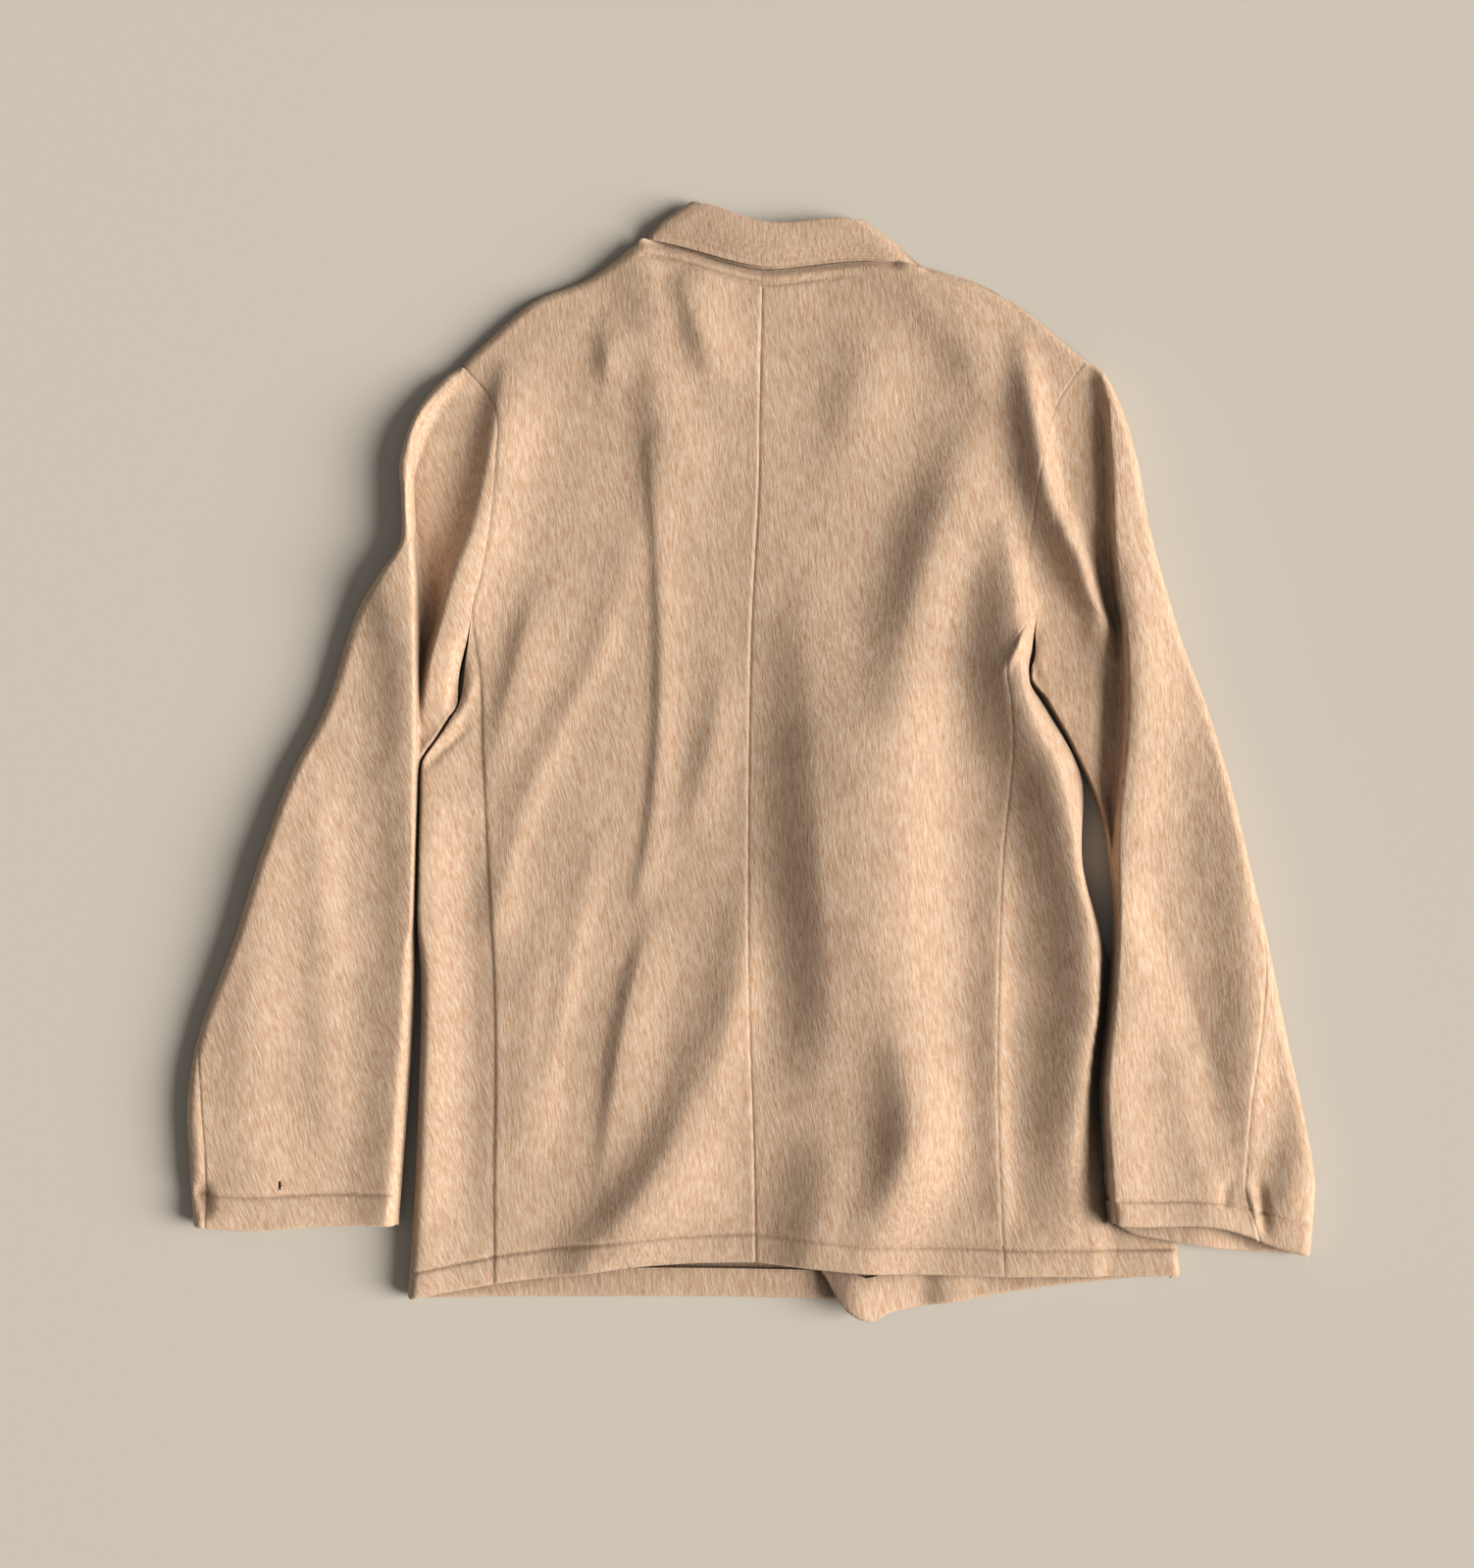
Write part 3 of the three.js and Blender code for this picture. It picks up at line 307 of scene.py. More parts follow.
# How far points are from a line, how far to its side (-1 to 1, past its ends in between),
# and how far along it (0 to 1).
def offLine(line, x, y):
    distance = np.full(x.shape, np.inf)
    side = np.zeros(x.shape)
    along = np.zeros(x.shape)
    for i in range(len(line) - 1):
        (ax, ay), (dx, dy) = line[i], line[i + 1] - line[i]
        t = np.clip(((x - ax) * dx + (y - ay) * dy) / (dx * dx + dy * dy), 0, 1)
        offX, offY = x - ax - dx * t, y - ay - dy * t
        far = np.hypot(offX, offY)
        nearer = far < distance
        distance = np.where(nearer, far, distance)
        turned = (dx * offY - dy * offX) / np.maximum(far * math.hypot(dx, dy), 1e-9)
        side = np.where(nearer, turned, side)
        along = np.where(nearer, (i + t) / (len(line) - 1), along)
    return distance, side, along


def foldHeight(folds, x, y):
    height = np.zeros(x.shape)
    for right, left, *path in folds:
        line = curveThrough(path, 3 * len(path) + 6)
        reach = 2.6 * max(left, right)
        low, high = line.min(0) - reach, line.max(0) + reach
        near = (x > low[0]) & (x < high[0]) & (y > low[1]) & (y < high[1])
        if not near.any():
            continue
        distance, side, along = offLine(line[:, :2], x[near], y[near])
        rise = np.interp(along, np.linspace(0, 1, len(line)), line[:, 2])
        height[near] += rise * bell(distance, mix(left, right, 0.5 + 0.5 * side))
    return height


# Soft unevenness: a random lattice with the given spacing, interpolated smoothly.
def waver(x, y, spacing, seed):
    count = 1500 // spacing + 4
    lattice = np.random.default_rng(seed).uniform(-1, 1, (count, count))
    u, v = (x + 600) / spacing, (y + 600) / spacing
    i, j = np.floor(u).astype(int), np.floor(v).astype(int)
    s, t = smooth(u - i, 0, 1), smooth(v - j, 0, 1)
    low = mix(lattice[i, j], lattice[i + 1, j], s)
    return mix(low, mix(lattice[i, j + 1], lattice[i + 1, j + 1], s), t)


sideEdgeRight = [(row[2], row[1]) for row in sideRight]
sleeveInnerRight = [(row[3], row[2]) for row in sleeveRight[underarmRow:]]


# The right sleeve lies on the body's right side. Places are distances below the middle.
lying = {
    "pressed": 10.0,  # height of the body's side under it
    "lift": 10.2,  # and of the sleeve's underside
    "bodyFrom": (70, 105),  # the body is pressed flat between these places
    "sleeveFrom": (60, 100),
    "comesDown": (14, 50),  # past the body's edge the sleeve comes down to the table
}
# The right front crosses the left one, and its rounded corner curls up.
overlap = {
    "lift": 5.9,  # its height where it crosses the left one's hem
    "comesDown": (60, 100),  # past the left one's edge it comes down to the table
    "curl": 10.0, "curlAt": 72, "curlLeft": 13, "curlRight": 21, "curlFrom": (350, 385),
    "sunk": 5.0, "sunkAt": 124, "sunkReach": 14, "sunkFrom": (352, 364),
}


def unevenness(x, y, wide, narrow, seed):
    return 0.5 * waver(x, y, wide, seed) + 0.2 * waver(x, y, narrow, seed + 1)


def backHeight(x, y):
    free = cloth["crown"] + foldHeight(bodyFolds, x, y) + unevenness(x, y, 34, 13, 1)
    free = 2 * np.logaddexp(free / 2, cloth["lowest"] / 2)
    inner = through(sleeveInnerRight, y)
    under = smooth(x, inner - 9, inner - 1) * smooth(-y, *lying["bodyFrom"])
    return mix(free, lying["pressed"], under)


# How far past an edge something has come down, 0 to 1.
def cameDown(x, edge, between):
    return smooth(x, edge + between[0], edge + between[1])


def frontHeight(side, x, y):
    if side < 0:
        return np.zeros(x.shape)
    height = overlap["lift"] * (1 - cameDown(x, through(frontEdgeLeft, y), overlap["comesDown"]))
    reach = np.where(x < overlap["curlAt"], overlap["curlLeft"], overlap["curlRight"])
    curl = bell(x - overlap["curlAt"], reach) * smooth(-y, *overlap["curlFrom"])
    sunk = bell(x - overlap["sunkAt"], overlap["sunkReach"]) * smooth(-y, *overlap["sunkFrom"])
    return height + overlap["curl"] * curl - overlap["sunk"] * sunk


def sleeveUnderside(side, x, y):
    if side < 0:
        return np.zeros(x.shape)
    down = cameDown(x, through(sideEdgeRight, y), lying["comesDown"])
    return lying["lift"] * (1 - down) * smooth(-y, *lying["sleeveFrom"])


# A point on a folded edge: inset from the crest, on the upper (face 1) or lower (-1) side.
def foldHeightAt(inset, face, high, low, reach=cloth["roll"]):
    half = (high - low) / 2
    reach = np.minimum(reach, half * 1.1)
    cosine = 1 - np.minimum(inset / reach, 1)
    return low + half * (1 + face * np.sqrt(1 - cosine ** 2))


def outlineOf(shoulderFold, table):
    outerEdge = [row[:2] for row in table[1:]]
    return np.vstack([curveThrough(shoulderFold, 30)[::-1], curveThrough(outerEdge, 70)])


outlines = {-1: outlineOf(shoulderFoldLeft, sleeveLeft),
            1: outlineOf(shoulderFoldRight, sleeveRight)}


def insetFrom(side, x, y):
    distance, found, _ = offLine(outlines[side], x, y)
    return -side * np.sign(found) * distance


# Heights of a body panel, curving down where it is near the shoulder's fold.
def panelHeight(side, x, y, face):
    low, high = frontHeight(side, x, y), backHeight(x, y)
    flat = high if face > 0 else low
    inset = np.full(x.shape, 99.0)
    near = y > 200
    inset[near] = insetFrom(side, x[near], y[near])
    rolled = foldHeightAt(np.maximum(inset, 0), face, high, low)
    return np.where(inset < cloth["roll"], rolled, flat)


# Even places from 0 to a length, and close ones round each seam or stitched line.
def places(length, step, lines=()):
    close = (-4.4, -3.2, -2.2, -1.4, -0.7, 0, 0.7, 1.4, 2.2, 3.2, 4.4)
    every = list(np.linspace(0, length, max(int(length / step), 2) + 1))
    every += [line + offset for line in lines for offset in close]
    every = sorted(place for place in every if 0 <= place <= length)
    kept = every[:1]
    for place in every[1:]:
        if place - kept[-1] > 0.45:
            kept.append(place)
    kept[-1] = length
    return np.array(kept)


# The side of a seam that its turnings are pressed towards, and its other side.
def seamOver(distance):
    swell = seam["swell"] * bell(distance, seam["swellReach"])
    return swell - seam["dent"] * bell(distance, seam["dentReach"])


def seamUnder(distance, reach=seam["lowerReach"]):
    return -seam["lower"] * bell(distance, reach)


neck = {
    "groove": 4.4, "leftGroove": 2.4,  # how deep the cloth rolls in, and more at the left
    "groovePlace": (-80, -58, -25, 30),
    "roll": (-1, 7),  # distances from the seam between which it does so
    "stitching": 11,  # from the seam to the stitched line
    "dent": 1.9, "dentReach": 1.6,
}


def neckGroove(x, fromSeam):
    a, b, c, d = neck["groovePlace"]
    depth = neck["groove"] + neck["leftGroove"] * smooth(x, a, b) * (1 - smooth(x, c, d))
    return depth * (1 - smooth(fromSeam, *neck["roll"]))


def hemBand(up, turnUp=hem["turnUp"], puff=hem["puff"]):
    band = puff * np.sin(math.pi * np.clip(up / turnUp, 0, 1)) ** 0.7
    return band - hem["dent"] * bell(up - turnUp, hem["dentReach"])


def unitRows(vectors):
    return vectors / np.maximum(np.linalg.norm(vectors, axis=-1, keepdims=True), 1e-9)


def gridNormals(points):
    along = np.gradient(points, axis=0)
    across = np.gradient(points, axis=1)
    return unitRows(np.cross(across, along))


# Rows that turn the cloth up at its first row, round the fold and along the inside.
def withHem(points, facing, turnUp=hem["turnUp"], step=3.0):
    normals = gridNormals(points) * facing
    first = points[0]
    normal = normals[0]
    out = unitRows(first - points[1])
    out = unitRows(out - normal * (out * normal).sum(-1, keepdims=True))
    radius = hem["radius"]
    centre = first - normal * radius
    rows = []
    for angle in np.radians(np.arange(15, 181, 15)):
        rows.append(centre + radius * (normal * math.cos(angle) + out * math.sin(angle)))
    run = np.linalg.norm(np.diff(points[:60], axis=0), axis=-1).mean(axis=1).cumsum()
    for inside in np.arange(step, turnUp - radius, step):
        k = int(np.searchsorted(run, inside))
        share = (inside - (run[k - 1] if k else 0)) / (run[k] - (run[k - 1] if k else 0))
        beside = mix(normals[k], normals[k + 1], share)
        rows.append(mix(points[k], points[k + 1], share) - beside * 2 * radius)
    return np.concatenate([np.array(rows[::-1]), points])


# Closes a grid of outer points into a wall of cloth and makes it a mesh. Squares for which
# missing is true are left out, with the wall closed round them.
def clothPiece(name, points, facing, material, missing=None):
    rows, columns = points.shape[:2]
    normals = gridNormals(points) * facing
    for edge in ((-1, slice(None)), (slice(None), 0), (slice(None), -1)):
        normals[edge] = unitRows(normals[edge] * [0.3, 0.3, 1])
    inner = points - normals * cloth["wall"]
    inner[..., 2] = np.maximum(inner[..., 2], 0.05)
    vertices = np.concatenate([points.reshape(-1, 3), inner.reshape(-1, 3)]) / 1000
    total = rows * columns
    index = np.arange(total).reshape(rows, columns)
    a, b, c, d = index[:-1, :-1], index[:-1, 1:], index[1:, 1:], index[1:, :-1]
    kept = np.ones(a.shape, bool) if missing is None else ~missing
    outer = together(a, b, c, d)[kept]
    under = together(a, d, c, b)[kept] + total
    edges = dict.fromkeys((start, end) for face in outer.tolist()
                          for start, end in zip(face, face[1:] + face[:1]))
    rim = [(end, start, start + total, end + total)
           for start, end in edges if (end, start) not in edges]
    faces = np.concatenate([outer, under, np.array(rim)])
    if facing < 0:
        faces = faces[:, ::-1]
    mesh = bpy.data.meshes.new(name)
    mesh.vertices.add(len(vertices))
    mesh.vertices.foreach_set("co", vertices.astype(np.float32).ravel())
    mesh.loops.add(faces.size)
    mesh.loops.foreach_set("vertex_index", faces.astype(np.int32).ravel())
    mesh.polygons.add(len(faces))
    mesh.polygons.foreach_set("loop_start", np.arange(0, faces.size, 4, dtype=np.int32))
    mesh.polygons.foreach_set("use_smooth", np.arange(len(faces)) < len(faces) - len(rim))
    mesh.update(calc_edges=True)
    mesh.validate()
    # The cut edge's corners are sharp, so that it doesn't bend the light on the face beside it.
    ends = np.zeros(2 * len(mesh.edges), np.int32)
    mesh.edges.foreach_get("vertices", ends)
    ends = np.sort(ends.reshape(-1, 2), axis=1).astype(np.int64)
    corners = np.array(rim, np.int64)
    corners = np.sort(np.vstack([corners[:, :2], corners[:, 2:]]), axis=1)
    pair = [len(vertices), 1]
    sharp = np.isin(ends @ pair, corners @ pair)
    mesh.attributes.new("sharp_edge", "BOOLEAN", "EDGE").data.foreach_set("value", sharp)
    mesh.materials.append(material)
    print(f"{name}: {2 * len(faces)} triangles")
    return addObject(name, mesh)


def addObject(name, data):
    made = bpy.data.objects.new(name, data)
    bpy.context.scene.collection.objects.link(made)
    return made


def declare(piece, node):
    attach(piece, "root")
    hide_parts(node)


def colour(code):
    channels = [int(code[i:i + 2], 16) / 255 for i in (1, 3, 5)]
    return [c / 12.92 if c <= 0.04045 else ((c + 0.055) / 1.055) ** 2.4 for c in channels] + [1]


# Adds a node and returns one of its outputs. What comes from another node is linked, and the
# rest is set, by the name or number of an input or else by the node's own property.
def addNode(tree, kind, settings, out=0):
    node = tree.nodes.new("ShaderNode" + kind)
    for name, value in settings.items():
        if isinstance(value, bpy.types.NodeSocket):
            tree.links.new(value, node.inputs[name])
        elif isinstance(name, int) or name in node.inputs:
            node.inputs[name].default_value = value
        else:
            setattr(node, name, value)
    return node.outputs[out]


wool = {
    "lit": "#EAD2BA",  # tips of the nap
    "shade": "#B98F6C",  # the felt between them
    "streakWidth": 0.0017,  # a lock of nap, in metres
    "streakLength": 0.011,
    "bend": (0.02, 0, 0),  # how far the locks wander from their way
    "hairs": 0.45,  # how much single hairs count beside the locks
    "patchy": (0.93, 1.05),
    "bump": 0.5, "bumpDepth": 0.0009,
    # Painted shade: the colour is darkened in hollows, by how near their other side is, down to the
    # darkest share below.
    "hollow": 0.022,  # how near the other side of a hollow must be to darken it
    "darkestPaintedShade": 0.16,
    "sheen": "#F4E8DA",
    "surface": {"Roughness": 0.92, "IOR": 1.45, "Specular IOR Level": 0.15, "Sheen Weight": 0.35,
                "Sheen Roughness": 0.45},
}


# Napped camel wool coating: fibres brushed up and lying down the cloth. They give a matt,
# streaky face that is paler where it is seen at a low angle. Its colour also carries painted
# shade, darker in creases, and a painted sheen that makes some pieces paler.
def makeWool(name, tilt, ownToneAndPaintedSheen):
    material = bpy.data.materials.new(name)
    material.use_nodes = True
    tree = material.node_tree

    def noise(scale, detail, place, out=0, roughness=0.5):
        return addNode(tree, "TexNoise", {"Scale": scale, "Detail": detail, "Roughness": roughness,
                                          "Vector": place}, out)

    place = addNode(tree, "TexCoord", {}, "Object")
    drift = noise(9, 1, place, "Color")
    leaning = addNode(tree, "VectorMath", {"operation": "MULTIPLY_ADD", 0: drift,
                                           1: wool["bend"], 2: place})
    turned = addNode(tree, "Mapping", {"Rotation": (0, 0, math.radians(tilt)), "Vector": leaning})
    across, along = 1 / wool["streakWidth"], 1 / wool["streakLength"]
    stretched = addNode(tree, "Mapping", {"Scale": (across, along, across), "Vector": turned})
    streaks = noise(1, 3, stretched, roughness=0.6)
    hairs = noise(2.6, 2, stretched, roughness=0.6)
    nap = addNode(tree, "Math", {"operation": "MULTIPLY_ADD", 0: hairs, 1: wool["hairs"],
                                 2: streaks})
    share = addNode(tree, "MapRange", {"From Min": 0.42, "From Max": 1.02, "Value": nap})
    fibre = addNode(tree, "Mix", {"data_type": "RGBA", 0: share, 6: colour(wool["shade"]),
                                  7: colour(wool["lit"])}, 2)
    least, most = wool["patchy"]
    # Random patches, scaled by the piece's brightness, which is partly painted sheen.
    patchesAndPaintedSheen = addNode(tree, "MapRange", {"From Min": 0.3, "From Max": 0.7, "To Min": least * ownToneAndPaintedSheen,
                                      "To Max": most * ownToneAndPaintedSheen, "Value": noise(22, 3, place)})
    # Painted shade: deep between folds the base colour is darkened by ambient occlusion, standing
    # in for the shade there.
    hidden = addNode(tree, "AmbientOcclusion", {"samples": 6, "Distance": wool["hollow"]}, "AO")
    paintedCreaseShade = addNode(tree, "MapRange", {"From Min": 0.25, "From Max": 0.9, "To Min": wool["darkestPaintedShade"],
                                      "Value": hidden})
    # Random patches and the painted crease shade together scale the fibre colour.
    strength = addNode(tree, "Math", {"operation": "MULTIPLY", 0: patchesAndPaintedSheen, 1: paintedCreaseShade})
    patchedWithPaintedShade = addNode(tree, "VectorMath", {"operation": "SCALE", 0: fibre, "Scale": strength})
    bump = addNode(tree, "Bump", {"Strength": wool["bump"], "Distance": wool["bumpDepth"],
                                  "Height": nap})
    shader = tree.nodes["Principled BSDF"]
    tree.links.new(patchedWithPaintedShade, shader.inputs["Base Color"])
    tree.links.new(bump, shader.inputs["Normal"])
    for setting, value in (*wool["surface"].items(), ("Sheen Tint", colour(wool["sheen"]))):
        shader.inputs[setting].default_value = value
    return material


# The nap of each piece lies its own way. Each piece's brightness is partly its own colour and
# partly painted sheen, paler where its nap throws back more light.
woolBody = makeWool("woolCoatingBody", -9, 1.0)
woolSide = makeWool("woolCoatingSides", -17, 1.05)
woolLeft = makeWool("woolCoatingLeftSleeve", -19, 1.16)
woolRight = makeWool("woolCoatingRightSleeve", -10, 1.07)
woolCollar = makeWool("woolCoatingCollar", -4, 1.0)


# Points along the back of the collar's seam, between two of its rows.
def neckline(start, end, count):
    row = section(collar, collarColumns, np.linspace(start, end, count + 1))
    seamLine, topLine = together(row.seamX, row.seamY), together(row.topX, row.topY)
    return seamLine + unitRows(seamLine - topLine) * cloth["gap"]


# Columns hang from the points of the top edge to the hem. up counts millimetres from the hem.
def panelColumns(top, sideLine, centreLine, hemLine, ups, side):
    sideX, centreX = through(sideLine, top[:, 1]), through(centreLine, top[:, 1])
    share = np.clip((top[:, 0] - sideX) / (centreX - sideX), 0, 1)
    hemX = mix(through(sideLine, -375), through(centreLine, -375), share)
    hemY = through(hemLine, hemX) + hem["radius"]
    height = top[:, 1] - hemY
    longest = height.max()
    # Rows are close at the hem's stitching and below the top edge, the same in each column.
    up = ups[:, None] * np.ones(len(top))
    nearTop = longest - up
    blend = smooth(ups / longest, 0.1, 0.9)[:, None]
    y = mix(hemY + up, top[:, 1] - nearTop, blend)
    x = mix(through(sideLine, y), through(centreLine, y), share)
    last = ups == longest
    x[last], y[last] = top[:, 0], top[:, 1]
    x[:, 0] -= side * cloth["gap"] / 2
    x[:, -1] += side * cloth["gap"] / 2
    return x, y, y - hemY


def backPanel(side, name):
    left = side < 0
    shoulder = curveThrough(shoulderFoldLeft if left else shoulderSeamRight, 400)
    if left:
        shoulder[:, 1] -= 1
        neckEdge = neckline(leftNeckRow + 1, middleRow, 160)
    else:
        neckEdge = neckline(rightNeckRow - 2, middleRow, 160)
    edge = np.vstack([shoulder, neckEdge])
    run = runAlong(edge)
    at = places(run[-1], cloth["fine"], [0, run[-1]])
    top = together(np.interp(at, run, edge[:, 0]), np.interp(at, run, edge[:, 1]))
    onNeck = smooth(at, run[len(shoulder)] - 6, run[len(shoulder)] + 6)
    sideLine = backSideLeft if left else backSideRight
    hemLine = hemBackLeft if left else hemBackRight
    hemX = mix(through(sideLine, -375), through(centreBack, -375), 0.5)
    longest = (top[:, 1] - through(hemLine, hemX) - hem["radius"]).max()
    ups = places(longest, cloth["fine"],
                 [0, hem["turnUp"] - hem["radius"], longest - neck["stitching"], longest])
    x, y, up = panelColumns(top, sideLine, centreBack, hemLine, ups, side)
    z = panelHeight(side, x, y, 1)
    centreSeam = seamOver if left else seamUnder
    z += centreSeam(x - through(centreBack, y)) * smooth(top[-1, 1] - y, 12, 15)
    shown = mix(1 if left else seam["side"], seam["armhole"], smooth(y, 70, 120))
    z += seamOver(x - through(sideLine, y)) * shown
    z += hemBand(up + hem["radius"])
    below = top[:, 1] - y
    z -= onNeck * neckGroove(x, below)
    fading = 1 if left else 1 - 0.8 * smooth(x, 20, 90)
    z -= onNeck * fading * neck["dent"] * bell(below - neck["stitching"], neck["dentReach"])
    facing = -side
    return clothPiece(name, withHem(together(x, y, z), facing), facing, woolBody)


declare(backPanel(-1, "backLeft"), "back_left")
declare(backPanel(1, "backRight"), "back_right")
print("back panels made")


sides = {
    "length": 490,
    "width": 61,  # at its widest, for sharing out columns
    "loose": 9.0,  # the fold's roll where nothing lies beside it,
    "touching": 2.2,  # where the left side lies against the sleeve
    "armhole": 0.8,  # and beside the armhole, where it is an upright edge
    "touchEnds": (-150, -105),  # heights between which the left sleeve comes away
    "leftSeamReach": 5,
    "nearFold": (0, 0.15, 0.6, 1.3, 2.4, 3.8, 5.5, 7.2),  # close columns on the fold
    "spread": 9,  # and from here on they are shared out
    "narrowest": 15,  # a narrower stretch squeezes the close columns too
}


def sidePanel(side, name):
    left = side < 0
    table = sideLeft if left else sideRight
    length = sides["length"]
    ups = places(length, cloth["fine"], [0, hem["turnUp"] - hem["radius"]])
    down = 1 - (ups + hem["radius"]) / (length + hem["radius"])
    seamDown = table[0][0] - np.array([line[0] for line in table])
    at = np.interp(down * seamDown[-1], seamDown, np.arange(len(table)))
    row = section(table, sideColumns, at)
    seamX = through(backSideLeft if left else backSideRight, row.seamY)
    belowX = through(frontSideLeft if left else frontSideRight, row.frontY)
    # Beside the armhole the edge is upright; under the left arm it lies full against the sleeve.
    touching = smooth(row.edgeY, *sides["touchEnds"]) * left
    against = through(sleeveAgainst, row.edgeY) + 0.15
    row.edgeX = mix(row.edgeX, against, touching * (at > armpitRow))
    belowArmhole = smooth(at, armpitRow - 0.1, armpitRow + 0.5)
    sideRoll = mix(sides["armhole"], mix(sides["loose"], sides["touching"], touching), belowArmhole)
    upperLength = np.hypot(seamX - row.edgeX, row.seamY - row.edgeY) - cloth["gap"] / 2
    lowerLength = np.hypot(belowX - row.edgeX, row.frontY - row.edgeY) - cloth["gap"] / 2
    seamReach = sides["leftSeamReach"] if left else seam["lowerReach"]
    # Columns near the fold keep their distance, and the rest of the width is shared out.
    near = [(inset, None) for inset in sides["nearFold"]]
    whole = sides["width"]
    upperPlaces = near + [(sides["spread"], place / whole) for place in places(whole, 2.6, [whole])]
    lowerPlaces = near + [(sides["spread"], place / whole) for place in places(whole, 7.5)]
    columns = []
    for placesAlong, width, endX, endY, face in (
            (upperPlaces[::-1], upperLength, seamX, row.seamY, 1),
            (lowerPlaces[1:], lowerLength, belowX, row.frontY, -1)):
        far = np.hypot(endX - row.edgeX, endY - row.edgeY)
        narrow = np.minimum(1, width / sides["narrowest"])
        for start, share in placesAlong:
            inset = start * narrow if share is None else mix(start * narrow, width, share)
            x = mix(row.edgeX, endX, inset / far)
            y = mix(row.edgeY, endY, inset / far)
            high, low = backHeight(x, y), frontHeight(side, x, y)
            z = foldHeightAt(inset, face, high, low, sideRoll)
            if face > 0:
                z = z + seamUnder(width - inset, seamReach)
                z = z + hemBand(ups + hem["radius"]) * smooth(inset, 0, 6)
            columns.append(together(x, y, z))
    points = np.stack(columns, axis=1)
    return clothPiece(name, withHem(points, side), side, woolSide)


declare(sidePanel(-1, "sideLeft"), "side_left")
declare(sidePanel(1, "sideRight"), "side_right")
print("side panels made")


def frontPanel(side, name):
    left = side < 0
    fold = curveThrough(shoulderFoldLeft if left else shoulderFoldRight, 16)
    seamLine = curveThrough(shoulderFoldLeft if left else shoulderSeamRight, 16)
    start, end = (leftNeckRow - 2, 0) if left else (rightNeckRow + 2, len(collar) - 1)
    top = np.vstack([fold, neckline(start, end, 22)])
    sideLine = frontSideLeft if left else frontSideRight
    edgeLine = frontEdgeLeft if left else frontEdgeRight
    hemLine = hemFrontLeft if left else hemFrontRight
    longest = (top[:, 1] + 385 - hem["radius"]).max()
    ups = np.unique(np.concatenate([places(60, 3.0), np.arange(60, longest - 12, 9),
                                    longest - np.array([12, 9, 6, 4, 2.4, 1.2, 0.5, 0])]))
    x, y, _ = panelColumns(top, sideLine, edgeLine, hemLine, ups, side)
    z = panelHeight(side, x, y, -1)
    # The cloth goes on over the shoulder's fold to its seam; at the neck it ends at once.
    onFold = np.arange(len(top)) < len(seamLine)
    strip = []
    for share in (0.15, 0.4, 0.7, 1.0):
        goal = top.copy()
        goal[onFold] = mix(top[onFold], seamLine - [0, 0.85 if left else 0], share)
        sx, sy = goal[:, 0], goal[:, 1] + 0.02 * share
        sz = np.where(onFold, panelHeight(side, sx, sy, 1), z[-1] + share)
        strip.append(together(sx, sy, sz))
    points = np.concatenate([together(x, y, z), np.array(strip)])
    turnUp = hem["turnUp"] if left else hem["frontRight"]
    return clothPiece(name, withHem(points, side, turnUp), side, woolBody)


declare(frontPanel(-1, "frontLeft"), "front_left")
declare(frontPanel(1, "frontRight"), "front_right")
print("fronts made")


# The up and across places are where rows and columns are made close round the hole.
mothHole = {"x": -334.6, "y": -301.7, "wide": 2.6, "long": 6.4,
            "up": 30, "across": 57.5, "reach": 137}
sleeve = {
    "length": 640,
    "crown": 17.0,  # height of its upper face
    "crest": 3,  # the ridge's crest lies so far outside its edge
    "outside": 24, "inside": 6,  # and falls away so far to either side
    "lower": 26,  # width of the lower stretch inside the ridge
    "innerHeight": 15,  # height of the right sleeve's inner side, once it is closed
    "slit": 2.4,  # how far the opening under the arm bows
    "puffLeft": 1.8, "puffRight": 1.4,
    "drawnUp": 10.5,  # the right cuff's upper layer is drawn up in the middle by this
    "drawnAt": 332, "drawnLeft": 45, "drawnRight": 36,
    "shows": 5.5,  # and its lower layer shows below
    "sag": 3.5, "sagAt": -352, "sagReach": 32,  # the left cuff hangs lower here
}
armholeRoll = curveThrough([point[:2] for point in armholeRollPath], 40)


# The height of a sleeve's upper face, before its edges turn down.
def sleeveHigh(side, row, closed, x, y, lift):
    across = side * (x - row.edgeX)
    fromCrest = across - sleeve["crest"]
    reach = np.where(fromCrest > 0, sleeve["outside"], sleeve["inside"])
    ridge = row.ridge * bell(fromCrest, reach)
    folds = foldHeight(sleeveFolds, x, y) + unevenness(x, y, 31, 12, 3)
    outside = sleeve["crown"] + ridge + 0.7 * lift + folds
    back = backHeight(x, y)
    if side < 0:
        distance, onSide, _ = offLine(armholeRoll, x, y)
        wide = 12 + 20 * smooth(y, 95, 165)
        climb = smooth(distance * np.sign(onSide) / wide, -1, -0.08) * smooth(y, -8, 4)
        inside = mix(row.foot, back, climb) + 0.3 * folds
    else:
        lower = np.clip(side * (row.edgeX - row.inX), 1, sleeve["lower"])
        innerHeight = mix(back, sleeve["innerHeight"], closed)
        inside = mix(row.foot, innerHeight, smooth(-across / lower, 0, 1)) + folds
    high = mix(inside, outside, smooth(across, -row.drop, row.drop))
    toInner = np.hypot(x - row.inX, y - row.inY)
    return mix(high, back, (1 - closed) * (1 - smooth(toInner, 0, row.joined)))


